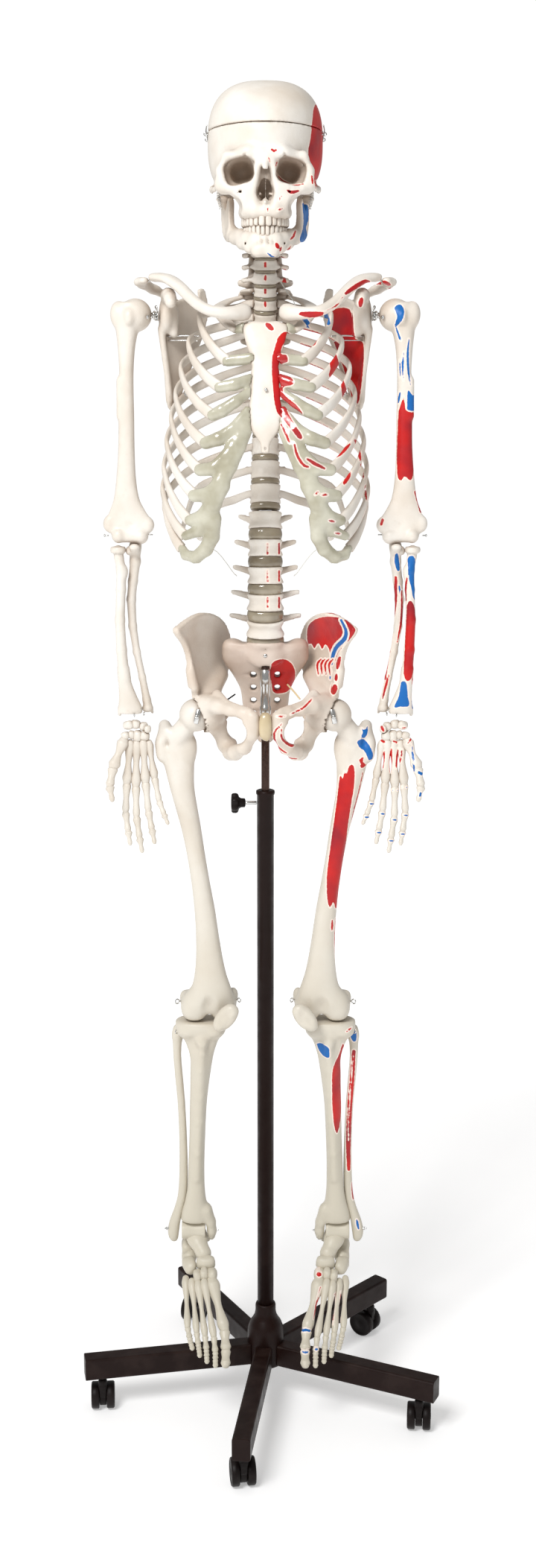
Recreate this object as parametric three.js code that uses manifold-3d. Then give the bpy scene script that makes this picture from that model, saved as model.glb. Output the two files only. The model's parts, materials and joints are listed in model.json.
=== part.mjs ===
// A life-size teaching skeleton that hangs from a rod in a five-legged roller stand.
// Millimetres, +Z up, the figure faces -Y. The origin is on the floor, under the middle of the part.
// The pieces are laid out round the pole's axis, which stands a little off that middle.
import * as THREE from 'three';
import { mergeVertices } from 'three/addons/utils/BufferGeometryUtils.js';
import Module from 'manifold-3d';

const wasm = await Module();
wasm.setup();

// ---- driving dimensions ------------------------------------------------------------------------
const GAP = 0.4;                 // clearance between pieces that sit face to face

const POLE = [8.5, 11];           // the pole's axis, seen from the middle of the part
const LEGS = 5;
const LEG_START = -7;            // degrees from straight ahead to the first leg
const LEG_WIDTH = 25;
const LEG_LOW = 54;
const LEG_HIGH = 86;
const LEG_REACH = 262;           // hub axis to the end of a leg
const HUB_RADIUS = 26;
const HUB_TOP = 144;
const CASTER_REACH = 237;        // hub axis to a caster's swivel axis
const CASTER_TRAIL = 9;          // swivel axis to the wheel axle
const CASTER_HEADINGS = [8, -6, 55, -20, 4];   // which way each caster happens to trail, in degrees
const WHEEL_RADIUS = 19;
const WHEEL_SIDES = 16;          // even, and turned so that a flat lies on the floor
const WHEEL_WIDTH = 11.5;
const HOOD_WIDTH = 10;
const AXLE_RADIUS = 3;
const STEM_RADIUS = 4;

const TUBE_RADIUS = 11.5;
const TUBE_TOP = 899;
const ROD_RADIUS = 5.5;
const ROD_LOW = 640;
const ROD_TOP = 1086;
const KNOB_HEIGHT = 881;

const SHOULDER = [166, 2, 1521];
const ELBOW = [180, -1, 1240];
const HIP = [93, -14, 1004];
const KNEE = [84, 2, 594];
const ANKLE = [100, 26, 244];
const JAW = [0, -4, 1664];
const SKULL_CUT = 1745;          // height of the saw cut under the skull cap
const SKULL_TURN = [0, 6, 1648];
const HUMERUS_BALL = 22;
const FEMUR_BALL = 22;
const SOCKET_FACE = 137;         // the flat of the shoulder blade that the hook is screwed into
const TROCHLEA = 10;             // radius of the elbow's hinge surface
const CONDYLE = 20;              // radius of the knee's hinge surface
const TALUS = 13;                // radius of the ankle's hinge surface
const FOOT_PITCH = 26;           // degrees that the hanging foot points its toes down
const FOOT_TOE_IN = 7;

// ---- materials ---------------------------------------------------------------------------------
const bone = new THREE.MeshStandardMaterial({ color: 0xe9e3d5, roughness: 0.5, metalness: 0 });
const gristle = new THREE.MeshStandardMaterial({ color: 0xb9b7a0, roughness: 0.4, metalness: 0 });
const paintedSteel = new THREE.MeshStandardMaterial({ color: 0x1c1413, roughness: 0.4, metalness: 0.2 });
const rodSteel = new THREE.MeshStandardMaterial({ color: 0x3a2e2b, roughness: 0.3, metalness: 0.8 });
const blackPlastic = new THREE.MeshStandardMaterial({ color: 0x15100f, roughness: 0.5, metalness: 0 });
const chrome = new THREE.MeshStandardMaterial({ color: 0xc8c8c8, roughness: 0.15, metalness: 1 });

// ---- solids ------------------------------------------------------------------------------------
const vec = (p) => new THREE.Vector3(p[0], p[1], p[2]);
const radians = (degrees) => THREE.MathUtils.degToRad(degrees);

function solid(geometry) {
  const bare = geometry.clone();
  bare.deleteAttribute('normal');
  bare.deleteAttribute('uv');
  const merged = mergeVertices(bare, 1e-4);
  const triVerts = new Uint32Array(merged.index.array);
  const vertProperties = new Float32Array(merged.attributes.position.array);
  return new wasm.Manifold(new wasm.Mesh({ numProp: 3, vertProperties, triVerts }));
}

function geometryOf(manifold) {
  const data = manifold.getMesh();
  const geometry = new THREE.BufferGeometry();
  geometry.setAttribute('position', new THREE.BufferAttribute(new Float32Array(data.vertProperties), 3));
  geometry.setIndex(new THREE.BufferAttribute(new Uint32Array(data.triVerts), 1));
  return geometry;
}

const join = (...parts) => parts.reduce((all, part) => all.add(part));
const cut = (body, ...tools) => tools.reduce((rest, tool) => rest.subtract(tool), body);

// A closed tube through stations [x, y, z, a, b]: a is its half-width along `across`, b is its
// half-depth at right angles to that and to the tube. A level tube's sections stay horizontal.
function loft(stations, sides = 8, across = [1, 0, 0], level = false) {
  const last = stations.length - 1;
  const geometry = new THREE.CylinderGeometry(1, 1, 1, sides, last);
  const position = geometry.attributes.position;
  for (let i = 0; i < position.count; i += 1) {
    const ring = Math.round((0.5 - position.getY(i)) * last);
    const before = vec(stations[Math.max(ring - 1, 0)]);
    const after = vec(stations[Math.min(ring + 1, last)]);
    const along = after.sub(before);
    if (level) {
      along.set(0, 0, along.z);
    }
    along.normalize();
    const wide = vec(across).addScaledVector(along, -vec(across).dot(along)).normalize();
    const deep = along.clone().cross(wide);
    const [, , , a, b] = stations[ring];
    const point = vec(stations[ring]);
    point.addScaledVector(wide, position.getX(i) * a).addScaledVector(deep, position.getZ(i) * b);
    position.setXYZ(i, point.x, point.y, point.z);
  }
  return solid(geometry);
}

function ball(centre, radii, round = 8, tall = 6) {
  const geometry = new THREE.SphereGeometry(1, round, tall);
  geometry.scale(radii[0], radii[1], radii[2]);
  geometry.translate(centre[0], centre[1], centre[2]);
  return solid(geometry);
}

function box(low, high) {
  const size = vec(high).sub(vec(low));
  const middle = vec(high).add(vec(low)).multiplyScalar(0.5);
  const geometry = new THREE.BoxGeometry(size.x, size.y, size.z);
  geometry.translate(middle.x, middle.y, middle.z);
  return solid(geometry);
}

// A solid of revolution about a vertical line, from [radius, z] pairs that start and end on it.
function turned(profile, sides, centre = [0, 0]) {
  const points = profile.map(([radius, z]) => new THREE.Vector2(radius, z));
  const geometry = new THREE.LatheGeometry(points, sides);
  geometry.rotateX(Math.PI / 2);
  geometry.translate(centre[0], centre[1], 0);
  return solid(geometry);
}

// A bar along X between two x values, round a point [y, z].
function barX(x0, x1, [y, z], radius, sides = 12) {
  return loft([[x0, y, z, radius, radius], [x1, y, z, radius, radius]], sides, [0, 0, 1]);
}

// A flat plate: the outline is given in its own plane, whose axes are `u` and +Z.
function plate(outline, origin, u, thickness) {
  const shape = new THREE.Shape(outline.map(([s, z]) => new THREE.Vector2(s, z)));
  const geometry = new THREE.ExtrudeGeometry(shape, { depth: thickness, bevelEnabled: false });
  geometry.translate(0, 0, -thickness / 2);
  const right = vec(u).normalize();
  const up = new THREE.Vector3(0, 0, 1);
  const frame = new THREE.Matrix4().makeBasis(right, up, right.clone().cross(up));
  frame.setPosition(vec(origin));
  geometry.applyMatrix4(frame);
  return solid(geometry);
}

function mirrored(geometry) {
  const copy = geometry.clone();
  copy.scale(-1, 1, 1);
  const index = copy.index.array;
  for (let i = 0; i < index.length; i += 3) {
    [index[i], index[i + 1]] = [index[i + 1], index[i]];
  }
  return copy;
}

// ---- the assembly ------------------------------------------------------------------------------
const skeleton = new THREE.Group();
skeleton.position.set(POLE[0], POLE[1], 0);

function add(name, manifold, material) {
  const mesh = new THREE.Mesh(geometryOf(manifold), material);
  mesh.name = name;
  skeleton.add(mesh);
  return mesh;
}

// Both of a pair: the left one is modelled, the right one is its mirror image.
function addPair(name, manifold, material) {
  const left = add(`${name}_left`, manifold, material);
  const right = new THREE.Mesh(mirrored(left.geometry), material);
  right.name = `${name}_right`;
  skeleton.add(right);
}

// ---- stand -------------------------------------------------------------------------------------
function hub() {
  const body = turned([
    [0, LEG_LOW - 4], [HUB_RADIUS - 4, LEG_LOW - 4], [HUB_RADIUS, LEG_LOW], [HUB_RADIUS, 106],
    [HUB_RADIUS - 4, 118], [TUBE_RADIUS + 6, 128], [TUBE_RADIUS + 3, HUB_TOP], [0, HUB_TOP],
  ], 20);
  const bore = turned([
    [0, 62], [TUBE_RADIUS + GAP, 62], [TUBE_RADIUS + GAP, HUB_TOP + 5], [0, HUB_TOP + 5],
  ], 16);
  return cut(body, bore);
}

function leg() {
  const half = LEG_WIDTH / 2;
  const edge = 3;
  const outline = new THREE.Shape();
  outline.moveTo(-half + edge, LEG_LOW);
  outline.lineTo(half - edge, LEG_LOW);
  outline.lineTo(half, LEG_LOW + edge);
  outline.lineTo(half, LEG_HIGH - edge);
  outline.lineTo(half - edge, LEG_HIGH);
  outline.lineTo(-half + edge, LEG_HIGH);
  outline.lineTo(-half, LEG_HIGH - edge);
  outline.lineTo(-half, LEG_LOW + edge);
  outline.closePath();
  const bar = new THREE.ExtrudeGeometry(outline, { depth: LEG_REACH - HUB_RADIUS + 4, bevelEnabled: false });
  bar.rotateX(Math.PI / 2);
  bar.translate(0, 4 - HUB_RADIUS, 0);
  const socket = turned([
    [0, LEG_LOW - 6], [HUB_RADIUS + 0.8, LEG_LOW - 6], [HUB_RADIUS + 0.8, 112], [0, 112],
  ], 20);
  const stemHole = turned([
    [0, LEG_LOW - 2], [STEM_RADIUS + 0.7, LEG_LOW - 2], [STEM_RADIUS + 0.7, LEG_LOW + 18], [0, LEG_LOW + 18],
  ], 8, [0, -CASTER_REACH]);
  return cut(solid(bar), socket, stemHole);
}

// Casters are modelled with their swivel axis on the origin and the wheels trailing towards +Y.
function casterFork() {
  const half = HOOD_WIDTH / 2;
  const axle = [CASTER_TRAIL, WHEEL_RADIUS];
  const hood = barX(-half, half, axle, WHEEL_RADIUS - 4, 10);
  const shoulder = box([-half, -7, 22], [half, 14, 40]);
  const stem = turned([[0, 30], [STEM_RADIUS, 30], [STEM_RADIUS, LEG_LOW + 16], [0, LEG_LOW + 16]], 8);
  const collar = turned([[0, 39.5], [6.5, 39.5], [6.5, 47], [0, 47]], 8);
  const bore = barX(-half - 1, half + 1, axle, AXLE_RADIUS + 0.6, 6);
  return cut(join(hood, shoulder, stem, collar), bore);
}

function wheelDisc(middle) {
  const radius = WHEEL_RADIUS / Math.cos(Math.PI / WHEEL_SIDES);
  const geometry = new THREE.CylinderGeometry(radius, radius, WHEEL_WIDTH, WHEEL_SIDES);
  geometry.rotateZ(Math.PI / 2);
  geometry.rotateX(Math.PI / WHEEL_SIDES);
  geometry.translate(middle, CASTER_TRAIL, WHEEL_RADIUS);
  return solid(geometry);
}

// Twin wheels on one axle, each with a flat of its faceted tread on the floor.
function casterWheels() {
  const middle = HOOD_WIDTH / 2 + GAP + WHEEL_WIDTH / 2;
  const axle = barX(-middle, middle, [CASTER_TRAIL, WHEEL_RADIUS], AXLE_RADIUS, 6);
  return join(wheelDisc(-middle), wheelDisc(middle), axle);
}

// The clamp knob's spindle lies along X and stops short of the rod.
function clampKnob() {
  const spindle = barX(-34, -TUBE_RADIUS - GAP, [0, KNOB_HEIGHT], 2.5, 8);
  const sleeve = barX(-38, -26, [0, KNOB_HEIGHT], 6, 10);
  const grip = loft([
    [-46, 0, KNOB_HEIGHT, 9, 9], [-44, 0, KNOB_HEIGHT, 14, 14], [-38, 0, KNOB_HEIGHT, 14, 14],
    [-35, 0, KNOB_HEIGHT, 9, 9],
  ], 12, [0, 0, 1]);
  return join(spindle, sleeve, grip);
}

function buildStand() {
  add('stand_hub', hub(), paintedSteel);
  const tube = turned([
    [ROD_RADIUS + GAP, 63], [TUBE_RADIUS, 63], [TUBE_RADIUS, TUBE_TOP - 2], [TUBE_RADIUS - 2, TUBE_TOP],
    [ROD_RADIUS + GAP, TUBE_TOP], [ROD_RADIUS + GAP, 63],
  ], 16);
  add('stand_tube', tube, paintedSteel);
  const rod = turned([[0, ROD_LOW], [ROD_RADIUS, ROD_LOW], [ROD_RADIUS, ROD_TOP], [0, ROD_TOP]], 12);
  add('stand_rod', rod, rodSteel);
  add('clamp_knob', clampKnob(), blackPlastic);
  const oneLeg = leg();
  const fork = casterFork();
  const wheels = casterWheels();
  for (let i = 0; i < LEGS; i += 1) {
    const angle = radians(LEG_START + (i * 360) / LEGS);
    add(`stand_leg_${i + 1}`, oneLeg, paintedSteel).rotation.z = angle;
    for (const [name, shape] of [['caster_fork', fork], ['caster_wheels', wheels]]) {
      const piece = add(`${name}_${i + 1}`, shape, blackPlastic);
      piece.position.set(CASTER_REACH * Math.sin(angle), -CASTER_REACH * Math.cos(angle), 0);
      piece.rotation.z = radians(CASTER_HEADINGS[i]);
    }
  }
}

// ---- bone tables -------------------------------------------------------------------------------
const SACRUM_TOP = 1100;
const THORAX_LOW = 1276;
const NECK_LOW = 1558;
const THORAX_PITCH = 32;         // height of the lowest thoracic vertebra with its disc

// The middle line of the vertebral bodies, as [z, y].
const SPINE_CURVE = [
  [1098, 2], [1115, -5], [1150, -10], [1188, -11], [1225, -8], [1260, -2], [1290, 7], [1346, 20],
  [1391, 31], [1432, 35], [1469, 31], [1502, 22], [1534, 11], [1567, 2], [1600, 0], [1650, 7],
];

// Each rib: its widest point as [half-width, height], the front end of its bone, and its cartilage
// from there to the sternum or to the cartilage above. The last two float, so theirs is empty and
// the bone ends at the side.
const RIBS = [
  { side: [59, 1530], front: [36, -56, 1501], cartilage: [[27, -64, 1503]] },
  { side: [84, 1520], front: [48, -78, 1463], cartilage: [[18, -79, 1466]] },
  { side: [98, 1487], front: [57, -93, 1431], cartilage: [[38, -94, 1434], [16, -86, 1443]] },
  { side: [108, 1456], front: [66, -101, 1397], cartilage: [[42, -102, 1410], [17.6, -92, 1426]] },
  { side: [115, 1424], front: [75, -105, 1363], cartilage: [[52, -110, 1376], [18, -96, 1406]] },
  { side: [121, 1396], front: [82, -105, 1330], cartilage: [[62, -113, 1337], [40, -110, 1368], [19, -99, 1394]] },
  { side: [127, 1366], front: [90, -103, 1300], cartilage: [[72, -113, 1308], [46, -114, 1345], [18, -102, 1385]] },
  { side: [131, 1334], front: [96, -96, 1267], cartilage: [[84, -107, 1275], [62, -115, 1322]] },
  { side: [133, 1306], front: [102, -86, 1247], cartilage: [[94, -98, 1250], [74, -111, 1290]] },
  { side: [131, 1286], front: [107, -72, 1230], cartilage: [[97, -86, 1223], [80, -102, 1234], [71, -112, 1298]] },
  { side: [120, 1262], front: [112, -16, 1240], cartilage: [] },
  { side: [94, 1248], front: [88, 36, 1234], cartilage: [] },
];
const RIB_HALF_HEIGHT = 6;
const RIB_HALF_DEPTH = 3;

const STERNUM = [
  [0, -60, 1511, 27, 6], [0, -65, 1499, 26, 7], [0, -76, 1472, 17, 7], [0, -84, 1450, 15, 7],
  [0, -92, 1425, 17, 6], [0, -98, 1400, 19, 6], [0, -103, 1380, 17, 6], [0, -105, 1369, 9, 4],
  [0, -107, 1350, 5, 3],
];
// A strip of cartilage down the side of the sternum ties the rib cartilages together.
const BREAST_EDGE = [
  [31, -63, 1506, 3, 2], [25, -74, 1478, 3, 2], [19.5, -80, 1460, 3, 2], [18.8, -86, 1444, 3, 2],
  [20.6, -92, 1425, 3, 2], [22.6, -98, 1400, 3, 2], [21, -103, 1379, 3, 2],
];

const SACRUM = [
  [0, 4, 1100, 26, 17], [0, 6, 1092, 49, 18], [0, 18, 1074, 53, 17], [0, 30, 1050, 43, 14],
  [0, 40, 1025, 31, 11], [0, 46, 1002, 21, 8], [0, 44, 985, 11, 6], [0, 36, 968, 5, 4],
];
const ILIUM_LINE = [-0.497, 0.867, 0];   // from the front spine of the crest to the rear one
const BLADE_LINE = [0.649, -0.761, 0];   // across the shoulder blade, from its inner border outwards

// ---- skull -------------------------------------------------------------------------------------
const BRAIN_CENTRE = [0, -2, 1731];
const BRAIN_RADII = [72, 92, 74];
const SKULL_WALL = 6;

function brainCase() {
  const inner = BRAIN_RADII.map((radius) => radius - SKULL_WALL);
  return cut(ball(BRAIN_CENTRE, BRAIN_RADII, 16, 10), ball(BRAIN_CENTRE, inner, 12, 8));
}

function skullCap(caseShell) {
  return cut(caseShell, box([-99, -120, 1600], [99, 120, SKULL_CUT]));
}

function cranium(caseShell) {
  const open = cut(caseShell, box([-99, -120, SKULL_CUT - GAP], [99, 120, 1900]));
  const face = loft([
    [0, -66, 1706, 52, 24], [0, -68, 1690, 56, 25], [0, -66, 1668, 48, 24], [0, -66, 1645, 30, 26],
    [0, -67, 1628, 27, 25],
  ], 8);
  const teeth = loft([[0, -70, 1630, 24, 22], [0, -70, 1619, 23, 21]], 8);
  const base = loft([[0, -8, 1690, 50, 52], [0, -4, 1664, 34, 36], [0, 4, 1650, 18, 14]], 8);
  const neckJoint = box([-40, -34, 1640], [40, 60, SKULL_TURN[2] + GAP]);
  const pieces = [open, face, teeth, base];
  for (const side of [-1, 1]) {
    pieces.push(loft([
      [side * 50, -72, 1680, 8, 6], [side * 63, -50, 1678, 5, 3], [side * 66, -28, 1678, 4, 3],
      [side * 60, -6, 1682, 6, 4],
    ], 4, [0, 0, 1]));
    pieces.push(ball([side * 50, 22, 1671], [11, 12, 21], 6, 4));
  }
  const holes = [neckJoint, ball([0, -96, 1667], [10, 16, 17], 6, 4)];
  for (const side of [-1, 1]) {
    holes.push(ball([side * 32, -94, 1689], [17, 34, 15], 8, 6));
  }
  return cut(join(...pieces), ...holes);
}

function mandible() {
  const pieces = [ball([0, -82, 1598], [18, 9, 10], 6, 4)];
  for (const side of [-1, 1]) {
    pieces.push(loft([
      [0, -88, 1604, 12, 5], [side * 18, -84, 1604, 12, 5], [side * 33, -64, 1606, 12, 5],
      [side * 44, -36, 1611, 13, 4], [side * 49, -16, 1618, 14, 4],
    ], 4, [0, 0, 1]));
    pieces.push(loft([
      [side * 48, -19, 1610, 4, 14], [side * 51, -12, 1634, 3.5, 15], [side * 54, -8, 1652, 3, 11],
      [side * 54, JAW[1], JAW[2] - 4, 4, 5],
    ], 4));
    pieces.push(ball([side * 54, JAW[1], JAW[2]], [7, 4.5, 4.5], 6, 4));
  }
  return join(...pieces);
}

function buildSkull() {
  const caseShell = brainCase();
  const jaw = mandible();
  const jawRoom = [-1, 1].map((side) => ball([side * 54, JAW[1], JAW[2]], [9, 6, 6], 6, 4));
  add('skull_cap', skullCap(caseShell), bone);
  add('cranium', cut(cranium(caseShell), ...jawRoom), bone);
  add('mandible', jaw, bone);
}

// ---- spine -------------------------------------------------------------------------------------
// The heights between the vertebrae of a run, which grow evenly shorter or taller upwards.
function discLevels(count, low, high, firstPitch) {
  const change = (2 * ((high - low) / count - firstPitch)) / (count - 1);
  const levels = [low];
  for (let i = 0; i < count; i += 1) {
    levels.push(levels[i] + firstPitch + change * i);
  }
  return levels;
}

// One run of vertebrae with their discs, as one column with its spines and side processes.
function vertebrae({ count, low, high, firstPitch, curve, half, deep, spine, drop, reach }) {
  const levels = discLevels(count, low, high, firstPitch);
  const rings = [];
  const processes = [];
  for (let i = 0; i < count; i += 1) {
    const pitch = levels[i + 1] - levels[i];
    const z = levels[i] + pitch / 2;
    const size = 1 - (0.14 * i) / count;
    const y = curve(z);
    rings.push([0, curve(z - pitch / 2), z - pitch / 2, half * size, deep * size]);
    rings.push([0, y, z, half * size * 0.88, deep * size * 0.9]);
    const root = y + deep * size * 0.5;
    processes.push(loft([
      [0, root, z, 4, 6], [0, y + deep + spine, z - drop, 3, 4],
    ], 4));
    if (reach > 0) {
      processes.push(loft([
        [-reach, y + deep + 4, z + 2, 4, 3], [0, y + deep, z, 5, 4], [reach, y + deep + 4, z + 2, 4, 3],
      ], 4, [0, 0, 1]));
    }
  }
  rings.push([0, curve(high), high, half * 0.86, deep * 0.86]);
  return join(loft(rings, 6, [0, 1, 0], true), ...processes);
}

function spineCurve(z) {
  const knots = SPINE_CURVE;
  const after = knots.findIndex(([level]) => level >= z);
  const [z0, y0] = knots[Math.max(after - 1, 0)];
  const [z1, y1] = knots[Math.max(after, 1)];
  return THREE.MathUtils.lerp(y0, y1, (z - z0) / (z1 - z0));
}

function buildSpine() {
  add('lumbar_spine', vertebrae({
    count: 5, low: SACRUM_TOP + GAP, high: THORAX_LOW - GAP, firstPitch: 35, curve: spineCurve,
    half: 25, deep: 17, spine: 32, drop: 6, reach: 40,
  }), bone);
  add('thoracic_spine', vertebrae({
    count: 12, low: THORAX_LOW, high: NECK_LOW - GAP, firstPitch: THORAX_PITCH, curve: spineCurve,
    half: 19, deep: 15, spine: 30, drop: 14, reach: 0,
  }), bone);
  const cervical = vertebrae({
    count: 7, low: NECK_LOW, high: SKULL_TURN[2] - GAP, firstPitch: 17, curve: spineCurve,
    half: 15, deep: 9, spine: 20, drop: 5, reach: 0,
  });
  add('cervical_spine', cervical, bone);
}

// ---- rib cage ----------------------------------------------------------------------------------
// Ribs are numbered from the top. Each bends from the spine round the side to its cartilage.
function ribPath(rib, number) {
  const levels = discLevels(12, THORAX_LOW, NECK_LOW, THORAX_PITCH);
  const spineZ = (levels[11 - number] + levels[12 - number]) / 2;
  const back = spineCurve(spineZ);
  const [width, sideZ] = rib.side;
  const [frontX, frontY, frontZ] = rib.front;
  const { lerp } = THREE.MathUtils;
  const path = [
    [23, back + 6, spineZ],
    [width * 0.42, back + 26, lerp(spineZ, sideZ, 0.1)],
    [width * 0.74, back + 22, lerp(spineZ, sideZ, 0.4)],
  ];
  if (rib.cartilage.length > 0) {
    path.push([width * 0.95, back * 0.4 + 6, lerp(spineZ, sideZ, 0.75)]);
    path.push([width, -20, sideZ]);
    path.push([lerp(width, frontX, 0.23), lerp(-20, frontY, 0.49), lerp(sideZ, frontZ, 0.45)]);
    path.push([lerp(width, frontX, 0.54), lerp(-20, frontY, 0.77), lerp(sideZ, frontZ, 0.73)]);
  }
  path.push(rib.front);
  return path;
}

function ribAndCartilage(rib, number) {
  const path = ribPath(rib, number);
  const shaft = loft(path.map((point) => [...point, RIB_HALF_HEIGHT, RIB_HALF_DEPTH]), 4, [0, 0, 1]);
  if (rib.cartilage.length === 0) {
    return shaft;
  }
  const rings = [rib.front, ...rib.cartilage].map((p) => [...p, RIB_HALF_HEIGHT, RIB_HALF_DEPTH + 0.5]);
  return join(shaft, loft(rings, 4, [0, 0, 1]));
}

// The stations of a loft that is larger all round, to cut room for it in a neighbour.
const grown = (stations) => stations.map(([x, y, z, a, b]) => [x, y, z, a + 2 * GAP, b + 2 * GAP]);

function buildRibCage() {
  const shafts = RIBS.map(ribAndCartilage);
  const edge = loft(BREAST_EDGE, 4, [0, 1, 0]);
  const room = loft(grown(STERNUM), 8);
  addPair('ribs', cut(join(edge, ...shafts.slice(0, 10)), room), bone);
  addPair('rib_11', shafts[10], bone);
  addPair('rib_12', shafts[11], bone);
  add('sternum', loft(STERNUM, 8), bone);
}

// ---- pelvis ------------------------------------------------------------------------------------
function hipBone() {
  const wing = loft([
    [84, -6, 1026, 24, 14], [83, -2, 1050, 38, 8], [81, 1, 1085, 62, 5], [81, 1, 1115, 69, 5],
    [86, -6, 1130, 48, 5], [90, -12, 1137, 20, 4],
  ], 8, ILIUM_LINE, true);
  const block = ball([80, -10, 1006], [27, 30, 30], 10, 6);
  const seat = loft([[78, -2, 992, 14, 14], [66, 6, 966, 13, 13], [50, 2, 952, 12, 11], [42, -10, 948, 8, 8]]);
  const lowerRamus = loft([
    [43, -8, 949, 7, 8], [32, -42, 956, 6, 6], [18, -66, 976, 6, 7], [12, -76, 990, 6, 7],
  ], 6);
  const upperRamus = loft([
    [72, -28, 1014, 12, 12], [48, -58, 1018, 8, 8], [26, -74, 1014, 7, 8], [12, -79, 1008, 7, 8],
  ], 6);
  const pubis = loft([[11, -80, 1018, 6, 8], [11, -79, 1000, 6.5, 8], [13, -76, 985, 7, 7]], 6);
  const cup = ball(HIP, [FEMUR_BALL + 3, FEMUR_BALL + 3, FEMUR_BALL + 3], 10, 8);
  const rim = box([98, -60, 960], [140, 40, 1040]);
  const sacrumRoom = loft(grown(SACRUM), 8, [1, 0, 0], true);
  return cut(join(wing, block, seat, lowerRamus, upperRamus, pubis), cup, rim, sacrumRoom);
}

function buildPelvis() {
  const socket = turned([
    [0, 900], [ROD_RADIUS + GAP, 900], [ROD_RADIUS + GAP, ROD_TOP + GAP], [0, ROD_TOP + GAP],
  ], 12);
  add('sacrum', cut(loft(SACRUM, 8, [1, 0, 0], true), socket), bone);
  addPair('hip_bone', hipBone(), bone);
  add('pubic_disc', ball([0, -79, 1001], [4, 9, 17], 8, 8), gristle);
}

// ---- shoulder girdle ---------------------------------------------------------------------------
function clavicle() {
  return loft([
    [30, -60, 1524, 6, 7], [48, -74, 1522, 5, 6], [68, -76, 1524, 5, 5], [90, -60, 1538, 5, 5],
    [107, -38, 1557, 5, 6], [124, -18, 1569, 4.5, 8], [140, -4, 1569, 4, 8],
  ], 6, [0, 0, 1]);
}

function scapula() {
  const blade = plate([
    [0, 1530], [6, 1556], [40, 1546], [70, 1535], [88, 1531], [90, 1513], [82, 1498], [80, 1450],
    [80, 1412], [72, 1404], [62, 1409], [30, 1466],
  ], [76, 82, 0], BLADE_LINE, 5);
  const ridge = loft([
    [77, 86, 1524, 3, 5], [110, 68, 1538, 6, 8], [140, 46, 1556, 5, 8], [158, 20, 1562, 4, 11],
    [162, 4, 1562, 4, 8],
  ], 5, [0, 0, 1]);
  const socket = ball([130, 9, 1521], [10, 13, 19], 8, 6);
  const beak = loft([[126, 4, 1534, 7, 7], [124, -14, 1548, 6, 6], [122, -28, 1541, 5, 5], [121, -34, 1535, 4, 4]], 5);
  const face = box([SOCKET_FACE, -40, 1490], [150, 40, 1545]);
  return join(cut(join(blade, socket), face), ridge, beak);
}

function shoulderHook() {
  const [, y, z] = SHOULDER;
  const flange = barX(SOCKET_FACE + GAP, SOCKET_FACE + 2.2, [y, z], 6, 10);
  const eye = barX(SOCKET_FACE + 2, SHOULDER[0] - HUMERUS_BALL - GAP, [y, z], 2.4, 8);
  return join(flange, eye);
}

// ---- arms --------------------------------------------------------------------------------------
function humerus() {
  const head = ball(SHOULDER, [HUMERUS_BALL, HUMERUS_BALL, HUMERUS_BALL], 10, 8);
  const tubercle = ball([184, 0, 1528], [14, 14, 15]);
  const shaft = loft([
    [177, 0, 1524, 18, 16], [179, 0, 1495, 12, 12], [180, 0, 1451, 9.5, 10], [181, 0, 1394, 10, 10],
    [182, 0, 1318, 12, 10], [182, 0, 1282, 19, 8], [180, 0, 1258, 30, 7], [179, -1, 1248, 27, 8],
  ], 8, [1, 0, 0], true);
  const hinge = barX(158, 204, [ELBOW[1], ELBOW[2]], TROCHLEA, 10);
  return join(head, tubercle, shaft, hinge);
}

function ulna() {
  const heel = ball([171, 17, 1245], [7, 6.5, 8], 6, 4);
  const shaft = loft([
    [171, 16, 1240, 7, 6], [172, 12, 1226, 7, 7], [173, 9, 1208, 6.5, 6.5], [178, 8, 1162, 6, 6],
    [176, 7, 1110, 5.5, 5.5], [166, 5, 1060, 5, 5], [158, 3, 1018, 6.5, 6.5], [157, 3, 1006, 6, 6],
  ], 6);
  const hollow = barX(140, 220, [ELBOW[1], ELBOW[2]], TROCHLEA + 0.8, 12);
  return cut(join(heel, shaft), hollow);
}

function radius() {
  return loft([
    [194, -2, 1227.5, 9.5, 9.5], [194, -2, 1221, 9.5, 9.5], [193, -2, 1214, 5.5, 5.5],
    [191, -3, 1198, 6.5, 6.5], [191, -4, 1162, 6, 6], [191, -4, 1110, 6.5, 6], [188, -5, 1060, 7.5, 6],
    [184, -5, 1020, 13, 8], [182, -5, 1005, 15, 9],
  ], 8, [1, 0, 0], true);
}

// Each ray runs from the wrist bones through the knuckle and the finger joints to the tip.
const HAND_RAYS = [
  [[184, -7, 978], [203, -22, 942], [207, -34, 916], [203, -42, 897]],
  [[181, -5, 972], [187, -6, 911], [188, -15, 870], [185, -24, 847], [182, -32, 831]],
  [[172, -5, 972], [175, -7, 908], [174, -17, 866], [170, -26, 841], [167, -33, 821]],
  [[163, -5, 972], [162, -6, 912], [158, -15, 872], [153, -25, 849], [149, -32, 832]],
  [[155, -4, 970], [150, -4, 917], [143, -12, 885], [136, -20, 869], [131, -26, 857]],
];

function hand() {
  const wristBones = loft([[171, -3, 992, 17, 6], [171, -4, 984, 20, 8], [170, -5, 966, 20, 7]], 8, [1, 0, 0], true);
  const rays = HAND_RAYS.map((joints) => loft(
    joints.map((point, i) => [...point, i === joints.length - 1 ? 3 : 5, 4.2]),
    5,
  ));
  return join(wristBones, ...rays);
}

function buildArms() {
  addPair('clavicle', clavicle(), bone);
  addPair('scapula', scapula(), bone);
  addPair('shoulder_hook', shoulderHook(), chrome);
  addPair('humerus', humerus(), bone);
  addPair('ulna', ulna(), bone);
  addPair('radius', radius(), bone);
  addPair('hand', hand(), bone);
}

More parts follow.
